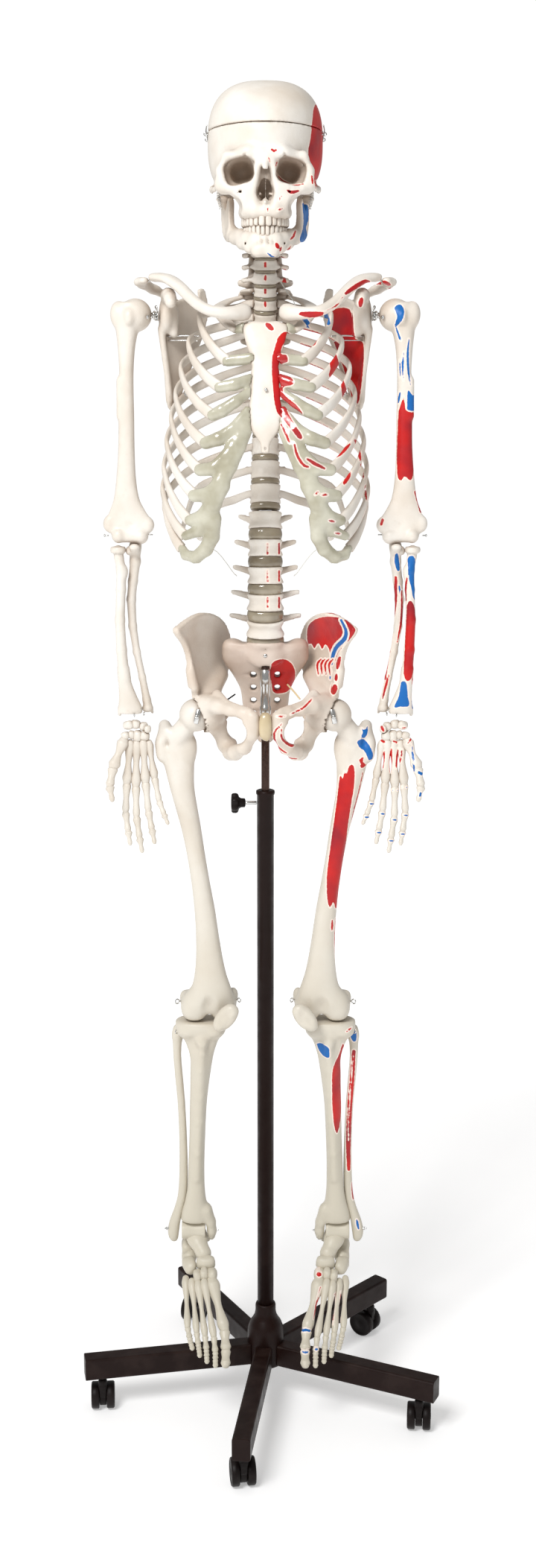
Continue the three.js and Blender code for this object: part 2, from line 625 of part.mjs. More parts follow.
// ---- legs --------------------------------------------------------------------------------------
function femur() {
  const head = ball(HIP, [FEMUR_BALL, FEMUR_BALL, FEMUR_BALL], 10, 8);
  const neck = loft([[97, -13, 1001, 14, 14], [112, -9, 990, 14, 14], [128, -4, 970, 18, 18]], 6, [0, 1, 0]);
  const trochanter = ball([132, 3, 969], [16, 15, 17]);
  const shaft = loft([
    [124, -3, 965, 22, 18], [117, -4, 931, 20, 17], [112, -6, 900, 16.5, 15], [101, -9, 849, 13.5, 14],
    [94, -11, 812, 12.5, 13], [88, -12, 770, 12.5, 13], [83, -13, 734, 14.5, 13.5],
    [77, -13, 670, 19, 15], [75, -12, 627, 26, 16], [78, -11, 604, 37, 18],
  ], 8, [1, 0, 0], true);
  const condyles = barX(40, 116, [KNEE[1], KNEE[2]], CONDYLE, 14);
  const groove = barX(46, 110, [-14, 598], 18, 8);
  return join(head, neck, trochanter, shaft, condyles, groove);
}

function patella() {
  return ball([54, -43, 590], [15, 8, 19], 8, 6);
}

function tibia() {
  const shaft = loft([
    [90, -1, KNEE[2] - CONDYLE - GAP, 29, 21], [90, -1, 565, 33, 24], [89, 0, 548, 27, 20],
    [89.5, 2, 520, 17, 16], [92, 5, 480, 13, 14], [95, 9, 441, 12, 13], [97, 14, 390, 11, 12],
    [100, 19, 330, 11.5, 12], [101, 22, 290, 15, 13], [101, 25, 264, 20, 15], [101, 26, 258.5, 20, 14],
  ], 8, [1, 0, 0], true);
  const ankleBone = loft([[84, 24, 270, 7, 9], [76, 25, 252, 6, 8], [76, 26, 236, 4, 6]], 6, [1, 0, 0], true);
  return join(shaft, ankleBone);
}

function fibula() {
  return loft([
    [122, 13, 557, 6, 6], [123, 13, 545, 8, 8], [124, 14, 525, 5, 5], [122, 17, 480, 5.5, 5.5],
    [119, 20, 435, 5.5, 5], [118, 23, 380, 5, 5], [121, 27, 314, 6, 6], [126, 28, 285, 6, 7],
    [132, 29, 258, 8, 9], [134, 29, 240, 8, 9], [133, 28, 227, 5, 6],
  ], 6, [1, 0, 0], true);
}

// The foot is laid out flat, round the ankle's axis, with its toes towards -Y. Each ray runs from
// the instep through the ball of the foot to the toe tip.
const FOOT_RAYS = [
  { size: 8, joints: [[-15, -66, -30], [-26, -136, -54], [-25, -166, -60], [-22, -186, -62]] },
  { size: 5, joints: [[-5, -70, -27], [-10, -144, -55], [-10, -168, -60], [-8, -186, -64]] },
  { size: 5, joints: [[4, -68, -30], [2, -140, -56], [2, -162, -61], [3, -178, -64]] },
  { size: 5, joints: [[13, -60, -36], [13, -132, -58], [12, -152, -62], [12, -166, -64]] },
  { size: 5, joints: [[18, -38, -38], [25, -122, -59], [23, -140, -62], [21, -153, -64]] },
];

function foot() {
  const heel = loft([
    [4, 46, -50, 14, 15], [3, 30, -44, 14, 18], [6, 0, -34, 14, 17], [11, -48, -37, 13, 10],
  ], 6);
  const instep = loft([
    [-4, 0, -10, 12, 12], [-8, -34, -18, 17, 14], [-4, -52, -26, 22, 13], [-1, -72, -32, 24, 10],
  ], 6);
  const rays = FOOT_RAYS.map(({ size, joints }) => loft(
    joints.map((point, i) => [...point, i === joints.length - 1 ? size * 0.6 : size, size * 0.8]),
    5,
  ));
  const place = new THREE.Matrix4().makeTranslation(...ANKLE);
  place.multiply(new THREE.Matrix4().makeRotationX(radians(FOOT_PITCH)));
  place.multiply(new THREE.Matrix4().makeRotationZ(radians(-FOOT_TOE_IN)));
  const sole = solid(geometryOf(join(heel, instep, ...rays)).applyMatrix4(place));
  const talus = barX(86, 121, [ANKLE[1], ANKLE[2]], TALUS, 12);
  const above = box([40, -40, ANKLE[2]], [160, 80, 300]);
  return join(cut(sole, above), talus);
}

function buildLegs() {
  addPair('femur', femur(), bone);
  addPair('patella', patella(), bone);
  addPair('tibia', tibia(), bone);
  addPair('fibula', fibula(), bone);
  addPair('foot', foot(), bone);
}

buildStand();
buildSkull();
buildSpine();
buildRibCage();
buildPelvis();
buildArms();
buildLegs();

export default skeleton;
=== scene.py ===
"""A jointed teaching skeleton on its roller stand: the fine surface and the looks.

Lengths in this script are millimetres, measured from the pole's axis and the floor, +Z up, with the
figure facing -Y and its left side towards +X. piece() turns them into metres in the frame. Lights, the
camera and the distances inside materials are in metres.
"""
import json
import math

import bpy
import numpy as np
from mathutils import Matrix, Vector


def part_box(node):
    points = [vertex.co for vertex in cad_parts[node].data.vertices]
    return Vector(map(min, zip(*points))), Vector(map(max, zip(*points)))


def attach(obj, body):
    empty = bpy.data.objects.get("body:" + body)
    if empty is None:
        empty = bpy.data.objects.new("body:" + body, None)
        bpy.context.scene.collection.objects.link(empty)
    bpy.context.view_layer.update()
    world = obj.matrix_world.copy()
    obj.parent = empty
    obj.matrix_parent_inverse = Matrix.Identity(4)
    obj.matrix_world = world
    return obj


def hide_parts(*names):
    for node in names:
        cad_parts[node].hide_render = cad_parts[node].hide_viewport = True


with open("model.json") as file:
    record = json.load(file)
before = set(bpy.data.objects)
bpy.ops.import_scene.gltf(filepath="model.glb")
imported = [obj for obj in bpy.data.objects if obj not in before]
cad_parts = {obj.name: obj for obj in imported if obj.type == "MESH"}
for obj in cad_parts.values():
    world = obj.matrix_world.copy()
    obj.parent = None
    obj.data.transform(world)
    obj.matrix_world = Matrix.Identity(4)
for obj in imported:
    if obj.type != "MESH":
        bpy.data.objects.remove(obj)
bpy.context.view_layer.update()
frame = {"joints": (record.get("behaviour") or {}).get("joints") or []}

MM = 0.001
pole_low, pole_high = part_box("stand_tube")
POLE = np.array([(pole_low[0] + pole_high[0]) / 2, (pole_low[1] + pole_high[1]) / 2, 0.0])
TUBE_RADIUS = (pole_high[0] - pole_low[0]) / 2 / MM
TUBE_TOP = pole_high[2] / MM
JOINTS = {joint["name"]: joint for joint in frame["joints"]}


def pivot(name):
    """A joint's place in millimetres from the pole."""
    return (np.array(JOINTS[name]["pos_m"], float) - POLE) / MM


SHOULDER = pivot("shoulder_swing_left")
ELBOW = pivot("elbow_left")
HIP = pivot("hip_left")
KNEE = pivot("knee_left")
ANKLE = pivot("ankle_left")
JAW = pivot("jaw_open")
HEAD_TURN = pivot("head_turn")

SKULL_CUT = 1745    # height of the saw cut that frees the skull cap
SACRUM_TOP = 1100
THORAX_LOW = 1276
NECK_LOW = 1558
SEED = np.random.default_rng(7)


# ---- shells: vertices in millimetres with their faces --------------------------------------------
class Shell:
    def __init__(self, points, faces):
        self.points = np.asarray(points, float).reshape(-1, 3)
        self.faces = faces

    def moved(self, matrix):
        turned = self.points @ np.array(matrix.to_3x3()).T + np.array(matrix.to_translation())
        return Shell(turned, self.faces)

    def mirrored(self):
        return Shell(self.points * [-1, 1, 1], [tuple(reversed(face)) for face in self.faces])


def joined(shells):
    points, faces, start = [], [], 0
    for shell in shells:
        points.append(shell.points)
        faces += [tuple(i + start for i in face) for face in shell.faces]
        start += len(shell.points)
    return Shell(np.concatenate(points), faces)


def both(shell):
    return joined([shell, shell.mirrored()])


def at(x, y, z, turn=(0, 0, 0)):
    """A matrix that turns by degrees about X, Y and Z and then moves."""
    angles = [math.radians(angle) for angle in turn]
    turned = Matrix.Rotation(angles[2], 4, "Z") @ Matrix.Rotation(angles[1], 4, "Y") @ Matrix.Rotation(
        angles[0], 4, "X")
    return Matrix.Translation((x, y, z)) @ turned


# ---- modelling clay: a sampled block that shapes are pressed into --------------------------------
EMPTY = 60      # the distance that a block holds before anything is pressed into it


def soft_min(a, b, blend):
    mix = np.clip(0.5 + 0.5 * (b - a) / blend, 0, 1)
    return b + (a - b) * mix - blend * mix * (1 - mix)


class Clay:
    def __init__(self, low, high, step=1.8, even=False):
        self.low = np.array(low, float)
        self.step = step
        lines = [np.arange(a, b + step, step, dtype=np.float32) for a, b in zip(low, high)]
        self.x, self.y, self.z = np.meshgrid(*lines, indexing="ij", sparse=True)
        if even:
            self.x = np.abs(self.x)
        self.distance = np.full([len(line) for line in lines], EMPTY, np.float32)

    def add(self, shape, blend=2.0):
        self.distance = soft_min(self.distance, shape(self), blend)

    def cut(self, shape, blend=0.8):
        self.distance = -soft_min(-self.distance, shape(self), blend)

    def keep(self, shape, blend=0.5):
        self.distance = -soft_min(-self.distance, -shape(self), blend)

    def shell(self):
        """The surface as quads, one vertex in each cell that the surface passes through."""
        d = self.distance
        inside = d < 0
        corners = [(i, j, k) for i in (0, 1) for j in (0, 1) for k in (0, 1)]
        size = [n - 1 for n in d.shape]
        count = np.zeros(size, np.uint8)
        for i, j, k in corners:
            count += inside[i:i + size[0], j:j + size[1], k:k + size[2]]
        active = (count > 0) & (count < 8)
        number = np.full(size, -1, np.int64)
        number[active] = np.arange(active.sum())
        cells = np.argwhere(active)
        total = np.zeros((len(cells), 3))
        hits = np.zeros(len(cells))
        for a in corners:
            for axis in range(3):
                if a[axis]:
                    continue
                b = tuple(1 if n == axis else a[n] for n in range(3))
                da = d[tuple((cells + a).T)]
                db = d[tuple((cells + b).T)]
                crossed = (da < 0) != (db < 0)
                share = da[crossed] / (da[crossed] - db[crossed])
                total[crossed] += np.array(a) + share[:, None] * (np.array(b) - a)
                hits[crossed] += 1
        points = self.low + self.step * (cells + total / hits[:, None])
        faces = []
        for axis in range(3):
            u, v = (axis + 1) % 3, (axis + 2) % 3
            ahead = np.roll(inside, -1, axis)
            changed = inside != ahead
            trim = [slice(1, -1)] * 3
            trim[axis] = slice(0, -1)
            here = np.argwhere(changed[tuple(trim)]) + [0 if n == axis else 1 for n in range(3)]
            step_u = np.eye(3, dtype=int)[u]
            step_v = np.eye(3, dtype=int)[v]
            ring = [here - step_u - step_v, here - step_v, here, here - step_u]
            quads = np.stack([number[tuple(cell.T)] for cell in ring], 1)
            outward = inside[tuple(here.T)]
            quads[~outward] = quads[~outward][:, ::-1]
            faces.append(quads)
        return Shell(points, [tuple(face) for face in np.concatenate(faces).tolist()])


def ball(centre, radii, turn=0, power=2):
    """An ellipsoid, turned by degrees about Y; a higher power makes it squarer."""
    if np.isscalar(radii):
        radii = (radii, radii, radii)
    c, s = math.cos(math.radians(turn)), math.sin(math.radians(turn))

    def shape(clay):
        x, y, z = clay.x - centre[0], clay.y - centre[1], clay.z - centre[2]
        u, w = c * x - s * z, s * x + c * z
        a, b, d = np.abs(u / radii[0]), np.abs(y / radii[1]), np.abs(w / radii[2])
        if power == 2:
            near = np.sqrt(a * a + b * b + d * d)
            slope = np.sqrt((a / radii[0]) ** 2 + (b / radii[1]) ** 2 + (d / radii[2]) ** 2) + 1e-6
            return near * (near - 1) / slope
        near = (a ** power + b ** power + d ** power) ** (1 / power)
        return (near - 1) * min(radii)
    return shape


def rod(a, b, r0, r1=None, flat=(1, 1, 1)):
    """A round-ended bar that may taper; flat squeezes its section along the axes given above 1."""
    r1 = r0 if r1 is None else r1
    k = np.array(flat, float)
    a, b = np.array(a, float) * k, np.array(b, float) * k
    along = b - a
    length = float(along @ along) + 1e-9

    def shape(clay):
        x, y, z = clay.x * k[0] - a[0], clay.y * k[1] - a[1], clay.z * k[2] - a[2]
        share = np.clip((x * along[0] + y * along[1] + z * along[2]) / length, 0, 1)
        far = np.sqrt((x - share * along[0]) ** 2 + (y - share * along[1]) ** 2 + (z - share * along[2]) ** 2)
        return (far - (r0 + (r1 - r0) * share)) / max(1, k.max() ** 0.5)
    return shape


def chain(points, flat=(1, 1, 1), blend=3):
    """Rods from point to point, each [x, y, z, radius]."""
    def shape(clay):
        result = None
        for p, q in zip(points, points[1:]):
            part = rod(p[:3], q[:3], p[3], q[3], flat)(clay)
            result = part if result is None else soft_min(result, part, blend)
        return result
    return shape


def smooth_line(rows, per=8):
    """Rows of numbers resampled along a smooth curve through them."""
    rows = np.array(rows, float)
    padded = np.vstack([2 * rows[0] - rows[1], rows, 2 * rows[-1] - rows[-2]])
    result = []
    for i in range(len(rows) - 1):
        p0, p1, p2, p3 = padded[i:i + 4]
        for t in np.arange(per) / per:
            result.append(0.5 * (2 * p1 + (p2 - p0) * t + (2 * p0 - 5 * p1 + 4 * p2 - p3) * t * t
                                 + (3 * p1 - p0 - 3 * p2 + p3) * t ** 3))
    result.append(rows[-1])
    return np.array(result)


def stack(stations, power=2, soft=1.5):
    """Level ellipses [z, x, y, half-width, half-depth], listed from the bottom upwards."""
    fine = smooth_line(stations, 6)
    fine = fine[np.argsort(fine[:, 0])]

    def shape(clay):
        line = clay.z.ravel()
        x, y, a, b = [np.interp(line, fine[:, 0], fine[:, n]).astype(np.float32) for n in (1, 2, 3, 4)]
        a, b = np.maximum(a, 0.3), np.maximum(b, 0.3)
        u, v = np.abs(clay.x - x) / a, np.abs(clay.y - y) / b
        near = (u ** power + v ** power) ** (1 / power)
        side = (near - 1) * np.minimum(a, b)
        ends = np.maximum(clay.z - fine[-1, 0], fine[0, 0] - clay.z)
        return -soft_min(-side, -ends, soft)
    return shape


def outline_distance(u, v, outline):
    """Signed distance in a plane to a closed outline, negative inside."""
    near = None
    inside = False
    for (u0, v0), (u1, v1) in zip(outline, outline[1:] + outline[:1]):
        du, dv = u1 - u0, v1 - v0
        share = np.clip(((u - u0) * du + (v - v0) * dv) / (du * du + dv * dv), 0, 1)
        far = (u - u0 - share * du) ** 2 + (v - v0 - share * dv) ** 2
        near = far if near is None else np.minimum(near, far)
        slope = du / dv if dv else 0
        crosses = ((v0 <= v) != (v1 <= v)) & (u < u0 + (v - v0) * slope)
        inside = crosses ^ inside
    return np.where(inside, -1, 1) * np.sqrt(near)


def rounded(outline, per=4):
    """A closed outline with its corners turned into a smooth curve."""
    around = outline[-1:] + outline + outline[:2]
    fine = smooth_line(around, per)
    return [tuple(point) for point in fine[per:-2 * per]]


def plate(outline, origin, u, v, thick, rim=0, bend=None, soft=2):
    """A curved plate: its outline lies in the plane of u and v, and its edge may be thicker."""
    u, v = np.array(u, float), np.array(v, float)
    u, v = u / np.linalg.norm(u), v / np.linalg.norm(v)
    n = np.cross(u, v)

    def shape(clay):
        x, y, z = clay.x - origin[0], clay.y - origin[1], clay.z - origin[2]
        s = x * u[0] + y * u[1] + z * u[2]
        t = x * v[0] + y * v[1] + z * v[2]
        w = x * n[0] + y * n[1] + z * n[2]
        if bend:
            w = w - bend(s, t)
        flat = outline_distance(s, t, outline)
        half = thick / 2 + rim * np.exp(-(flat / 7) ** 2)
        return -soft_min(-flat, -(np.abs(w) - half), soft)
    return shape


def beyond(axis, value, sign=1):
    """Everything on one side of a plane: above value where sign is 1, below it where it is -1."""
    def shape(clay):
        line = (clay.x, clay.y, clay.z)[axis]
        return sign * (value - line) + 0 * clay.distance
    return shape


def block(low, high):
    """A box between two corners."""
    centre = [(a + b) / 2 for a, b in zip(low, high)]
    half = [(b - a) / 2 for a, b in zip(low, high)]

    def shape(clay):
        x, y, z = np.abs(clay.x - centre[0]), np.abs(clay.y - centre[1]), np.abs(clay.z - centre[2])
        return np.maximum(np.maximum(x - half[0], y - half[1]), z - half[2])
    return shape


# ---- swept and turned shells ---------------------------------------------------------------------
ROUND_END = [(0.35, 0.94), (0.7, 0.71), (0.93, 0.36)]
LUMP_SIDES = 16
LUMP_RINGS = 10


def ring_faces(rings, sides, capped=True):
    """Quads between neighbouring rings of vertices, with the first and last ring filled where capped."""
    faces = []
    for a in range(0, (rings - 1) * sides, sides):
        for i in range(sides):
            j = (i + 1) % sides
            faces.append((a + i, a + j, a + sides + j, a + sides + i))
    if capped:
        faces.append(tuple(reversed(range(sides))))
        faces.append(tuple(range((rings - 1) * sides, rings * sides)))
    return faces


def tube(stations, sides=12, up=(0, 0, 1), per=5, ends=True, power=2):
    """A tube through [x, y, z, a, b]: a is half its size along up, b half its size across that."""
    rows = smooth_line(stations, per)
    centres = rows[:, :3]
    along = np.gradient(centres, axis=0)
    along /= np.linalg.norm(along, axis=1)[:, None]
    rings = [(centre, direction, row[3], row[4]) for centre, direction, row in zip(centres, along, rows)]
    if ends:
        first, last = rings[0], rings[-1]
        thin_first, thin_last = min(first[2:]), min(last[2:])
        start = [(first[0] - first[1] * thin_first * s, first[1], first[2] * c, first[3] * c)
                 for s, c in reversed(ROUND_END)]
        finish = [(last[0] + last[1] * thin_last * s, last[1], last[2] * c, last[3] * c) for s,
                  c in ROUND_END]
        rings = start + rings + finish
    angles = np.arange(sides) * 2 * math.pi / sides
    c, s = np.cos(angles), np.sin(angles)
    ca = np.sign(c) * np.abs(c) ** (2 / power)
    sa = np.sign(s) * np.abs(s) ** (2 / power)
    points = []
    for centre, direction, a, b in rings:
        tall = np.array(up, float) - direction * (direction @ np.array(up, float))
        tall /= np.linalg.norm(tall)
        wide = np.cross(direction, tall)
        points.append(centre + np.outer(ca * a, tall) + np.outer(sa * b, wide))
    return Shell(np.concatenate(points), ring_faces(len(rings), sides))


def wire(points, radius=0.6, sides=6, per=4):
    up = (0.31, 0.23, 0.92)
    return tube([(*point, radius, radius) for point in points], sides, up, per)


def turned(profile, sides=24):
    """A solid of revolution about Z from [radius, z] pairs."""
    angles = np.arange(sides) * 2 * math.pi / sides
    points = [np.stack([radius * np.cos(angles), radius * np.sin(angles), np.full(sides, z)], 1)
              for radius, z in profile]
    return Shell(np.concatenate(points), ring_faces(len(profile), sides))


def lump(centre, radii, turn=(0, 0, 0), rough=0.09, power=2.6):
    """A small bone: a squarish ball with a few seeded dents."""
    phases = SEED.uniform(0, 2 * math.pi, 6)
    points = []
    for j in range(LUMP_RINGS + 1):
        lift = math.pi * (j / LUMP_RINGS - 0.5)
        for i in range(LUMP_SIDES):
            heading = 2 * math.pi * i / LUMP_SIDES
            d = np.array([math.cos(lift) * math.cos(heading), math.cos(lift) * math.sin(heading),
                          math.sin(lift)])
            size = (np.abs(d) ** power).sum() ** (-1 / power)
            dent = math.sin(3 * d[0] + phases[0]) * math.sin(3 * d[1] + phases[1])
            dent += 0.6 * math.sin(5 * d[2] + phases[2]) * math.sin(4 * d[0] + phases[3])
            points.append(d * size * (1 + rough * dent) * np.array(radii))
    faces = ring_faces(LUMP_RINGS + 1, LUMP_SIDES, capped=False)
    return Shell(points, faces).moved(at(*centre, turn))


def shaft_bone(a, b, base, waist, head, up=(0, -1, 0), deep=0.85, sides=12):
    """A small long bone from its base at a to its rounded head at b."""
    a, b = np.array(a, float), np.array(b, float)
    stations = []
    for share, size in ((0, base * 0.8), (0.1, base), (0.28, (base + waist) / 2), (0.5, waist),
                        (0.72, (head + waist) / 2), (0.88, head), (1, head * 0.8)):
        stations.append((*(a + (b - a) * share), size * deep, size))
    return tube(stations, sides, up, 3, power=2.3)


def segments(joints, gap):
    """The two ends of each bone between a ray's joints, held back from the joints by a gap."""
    for a, b in zip(joints, joints[1:]):
        a, b = np.array(a, float), np.array(b, float)
        trim = (b - a) / np.linalg.norm(b - a) * gap
        yield a + trim, b - trim


# ---- paint: signed distances in millimetres, negative inside a patch -----------------------------
UNPAINTED = 99.0    # a distance that lies outside every mark
PAINT_RANGE = 8     # millimetres of distance that the stored value spans
BACK_LIMIT = 0.25   # how far a surface may turn to the back and still take paint
BACK_FADE = 12      # how quickly the paint then ends


def patch(points, outline):
    """A filled shape seen from the front, from its [x, z] outline."""
    return outline_distance(points[:, 0], points[:, 2], rounded(outline))


def stroke(points, line, width, taper=0):
    """A brush stroke seen from the front along [x, z] points; it may thin out towards its ends."""
    line = smooth_line([(x, z, width / 2) for x, z in line], 5)
    if taper:
        line[:, 2] *= 1 - taper * np.abs(np.linspace(-1, 1, len(line))) ** 2
    near = np.full(len(points), UNPAINTED)
    for (x0, z0, r0), (x1, z1, r1) in zip(line, line[1:]):
        dx, dz = x1 - x0, z1 - z0
        share = np.clip(((points[:, 0] - x0) * dx + (points[:, 2] - z0) * dz) / (dx * dx + dz * dz + 1e-9), 0,
                        1)
        far = np.hypot(points[:, 0] - x0 - share * dx, points[:, 2] - z0 - share * dz)
        near = np.minimum(near, far - r0 - (r1 - r0) * share)
    return near


def painted(mesh, colour, distance):
    """Stores a colour's distance on the vertices whose surface faces the front."""
    normals = np.empty(len(mesh.vertices) * 3)
    mesh.vertex_normals.foreach_get("vector", normals)
    behind = (normals.reshape(-1, 3)[:, 1] - BACK_LIMIT) * BACK_FADE
    value = np.clip(0.5 - np.maximum(distance, behind) / PAINT_RANGE, 0, 1)
    layer = mesh.attributes.new(colour, "FLOAT", "POINT")
    layer.data.foreach_set("value", value)


# ---- materials -----------------------------------------------------------------------------------
class Nodes:
    """A material's nodes, with short ways to add and link them."""

    def __init__(self, name):
        self.material = bpy.data.materials.new(name)
        self.material.use_nodes = True
        self.tree = self.material.node_tree
        self.shader = self.tree.nodes["Principled BSDF"]
        self.place = self.new("ShaderNodeTexCoord").outputs["Object"]

    def new(self, kind, **settings):
        node = self.tree.nodes.new(kind)
        for key, value in settings.items():
            setattr(node, key, value)
        return node

    def link(self, source, target):
        self.tree.links.new(source, target)

    def noise(self, scale, detail=3):
        node = self.new("ShaderNodeTexNoise")
        node.inputs["Scale"].default_value = scale
        node.inputs["Detail"].default_value = detail
        self.link(self.place, node.inputs["Vector"])
        return node.outputs["Fac"]

    def ramp(self, source, low, high, out_low=0.0, out_high=1.0):
        node = self.new("ShaderNodeMapRange")
        for name, value in (("From Min", low), ("From Max", high), ("To Min", out_low), ("To Max", out_high)):
            node.inputs[name].default_value = value
        self.link(source, node.inputs["Value"])
        return node.outputs["Result"]

    def mix(self, share, first, second):
        node = self.new("ShaderNodeMix", data_type="RGBA")
        for index, value in ((0, share), (6, first), (7, second)):
            if isinstance(value, (float, tuple)):
                node.inputs[index].default_value = value
            else:
                self.link(value, node.inputs[index])
        return node.outputs[2]

    def maths(self, operation, first, second):
        node = self.new("ShaderNodeMath", operation=operation)
        for index, value in enumerate((first, second)):
            if isinstance(value, (int, float)):
                node.inputs[index].default_value = value
            else:
                self.link(value, node.inputs[index])
        return node.outputs[0]

    def bump(self, height, strength, distance):
        node = self.new("ShaderNodeBump")
        node.inputs["Strength"].default_value = strength
        node.inputs["Distance"].default_value = distance
        self.link(height, node.inputs["Height"])
        self.link(node.outputs["Normal"], self.shader.inputs["Normal"])

    def set(self, **values):
        for name, value in values.items():
            self.shader.inputs[name.replace("_", " ")].default_value = value


def rgb(red, green, blue):
    """A colour given as it looks on a screen, 0 to 255."""
    def linear(value):
        value /= 255
        return value / 12.92 if value <= 0.04045 else ((value + 0.055) / 1.055) ** 2.4
    return (linear(red), linear(green), linear(blue), 1.0)


BONE_LIGHT = rgb(231, 226, 218)
BONE_WARM = rgb(212, 201, 187)
# painted shade that the lower bones take towards the floor
BONE_FLOOR_SHADE = rgb(204, 197, 180)
# painted shade for creases and recesses
BONE_CREASE_SHADE = rgb(128, 106, 86)
BONE_SHADE = rgb(158, 136, 116)
PAINT_RED = rgb(196, 22, 18)
PAINT_DEEP_RED = rgb(150, 18, 32)
PAINT_BLUE = rgb(12, 100, 176)
PAINT_EDGE = rgb(240, 226, 214)
EDGE = 1.1               # width of the bare line round a painted area, in millimetres
SHADE_REACH = 0.05       # how far away a surface still shades a hollow, in metres
SHADE_SAMPLES = 6


def add_paint(n, colour):
    """The painted areas over a colour, each with a bare line round it."""
    ragged = n.ramp(n.noise(260, 2), 0.3, 0.7, -0.035, 0.035)
    for attribute, paint_colour in (("blue", PAINT_BLUE), ("red", PAINT_RED)):
        stored = n.new("ShaderNodeAttribute", attribute_name=attribute).outputs["Fac"]
        value = n.maths("ADD", stored, ragged)
        edge = n.ramp(value, 0.5 - (EDGE + 0.5) / PAINT_RANGE, 0.5 - EDGE / PAINT_RANGE)
        colour = n.mix(edge, colour, PAINT_EDGE)
        tone = paint_colour
        if attribute == "red":
            tone = n.mix(n.ramp(n.noise(22, 2), 0.45, 0.75), PAINT_RED, PAINT_DEEP_RED)
        colour = n.mix(n.ramp(value, 0.5, 0.5 + 0.4 / PAINT_RANGE), colour, tone)
    return colour


def bone_material(name="cast_bone", paint=True, light=BONE_LIGHT, warm=BONE_WARM):
    """Cast plastic bone: mottled, with painted shade in hollows, in creases and towards the floor, and with
    paint where it is stored.
    """
    n = Nodes(name)
    mottle = n.ramp(n.noise(14, 4), 0.35, 0.72)
    colour = n.mix(mottle, light, warm)
    # painted shade: ambient occlusion darkens hollows and the gaps between parts towards BONE_SHADE
    depth = n.new("ShaderNodeAmbientOcclusion", samples=SHADE_SAMPLES)
    depth.inputs["Distance"].default_value = SHADE_REACH
    colour = n.mix(n.ramp(depth.outputs["AO"], 0.95, 0.25, 0.0, 0.72), colour, BONE_SHADE)
    # painted shade: the bone darkens from 1.05 m down to 0.35 m above the floor
    height = n.new("ShaderNodeSeparateXYZ")
    n.link(n.place, height.inputs[0])
    colour = n.mix(n.ramp(height.outputs["Z"], 1.05, 0.35), colour, BONE_FLOOR_SHADE)
    speck = n.ramp(n.noise(160, 2), 0.62, 0.78, 0.0, 0.35)
    colour = n.mix(speck, colour, BONE_WARM)
    # painted shade: low pointiness darkens concave creases and recesses
    sharp = n.new("ShaderNodeNewGeometry").outputs["Pointiness"]
    hollow = n.ramp(sharp, 0.485, 0.42, 0.0, 0.75)
    colour = n.mix(hollow, colour, BONE_CREASE_SHADE)
    if paint:
        colour = add_paint(n, colour)
    n.link(colour, n.shader.inputs["Base Color"])
    n.link(n.ramp(n.noise(45, 3), 0.3, 0.7, 0.34, 0.5), n.shader.inputs["Roughness"])
    n.set(Specular_IOR_Level=0.42)
    rough = n.maths("ADD", n.noise(70, 4), n.maths("MULTIPLY", n.noise(420, 2), 0.35))
    n.bump(rough, 0.35, 0.0012)
    return n.material


def gristle_material(name, colour, deep, alpha, roughness=0.22, paint=False):
    n = Nodes(name)
    cloud = n.ramp(n.noise(30, 3), 0.35, 0.7)
    tint = n.mix(cloud, colour, deep)
    n.link(add_paint(n, tint) if paint else tint, n.shader.inputs["Base Color"])
    n.set(Roughness=roughness, Alpha=alpha, Specular_IOR_Level=0.7, Coat_Weight=0.5, Coat_Roughness=0.1)
    n.bump(n.noise(60, 2), 0.5, 0.002)
    return n.material


def metal_material(name, colour, roughness):
    n = Nodes(name)
    n.set(Metallic=1.0)
    n.link(n.mix(n.ramp(n.noise(90, 2), 0.3, 0.8), colour, tuple(0.72 * c for c in colour[:3]) + (1.0,)),
           n.shader.inputs["Base Color"])
    n.link(n.ramp(n.noise(200, 2), 0.3, 0.7, roughness * 0.7, roughness * 1.4), n.shader.inputs["Roughness"])
    n.bump(n.noise(600, 1), 0.05, 0.0003)
    return n.material


def enamel_material(name, colour, worn, roughness):
    n = Nodes(name)
    sharp = n.new("ShaderNodeNewGeometry").outputs["Pointiness"]
    wear = n.maths("MULTIPLY", n.ramp(sharp, 0.53, 0.6), n.ramp(n.noise(40, 3), 0.45, 0.65))
    base = n.mix(n.ramp(n.noise(9, 3), 0.3, 0.8), colour, tuple(1.5 * c for c in colour[:3]) + (1.0,))
    n.link(n.mix(wear, base, worn), n.shader.inputs["Base Color"])
    n.link(n.ramp(n.noise(60, 3), 0.3, 0.7, roughness * 0.8, roughness * 1.25), n.shader.inputs["Roughness"])
    n.set(Specular_IOR_Level=0.16)
    n.bump(n.noise(900, 2), 0.12, 0.0004)
    return n.material


bone = bone_material()
# a darker, pinker copy of the bone: partly the sacrum's own tan, partly painted shade for its place in shadow
bone_tan_and_shade = bone_material("cast_bone_tan_and_shade", light=rgb(222, 208, 196), warm=rgb(188, 164, 148))
bone_warm = bone_material("cast_bone_warm", light=rgb(227, 218, 207), warm=rgb(204, 186, 168))
tooth = bone_material("cast_teeth", paint=False)
RIB_GRISTLE = (rgb(204, 201, 182), rgb(164, 158, 134), 0.9)
cartilage = gristle_material("rib_cartilage", *RIB_GRISTLE)
cartilage_painted = gristle_material("rib_cartilage_painted", *RIB_GRISTLE, paint=True)
disc_gristle = gristle_material("spine_disc", rgb(164, 153, 132), rgb(120, 108, 88), 0.93, 0.12)
symphysis = gristle_material("pubic_cartilage", rgb(205, 188, 152), rgb(182, 162, 128), 1.0, 0.35)
chrome = metal_material("chrome", rgb(214, 214, 212), 0.16)
steel_dark = metal_material("rod_steel", rgb(92, 74, 68), 0.3)
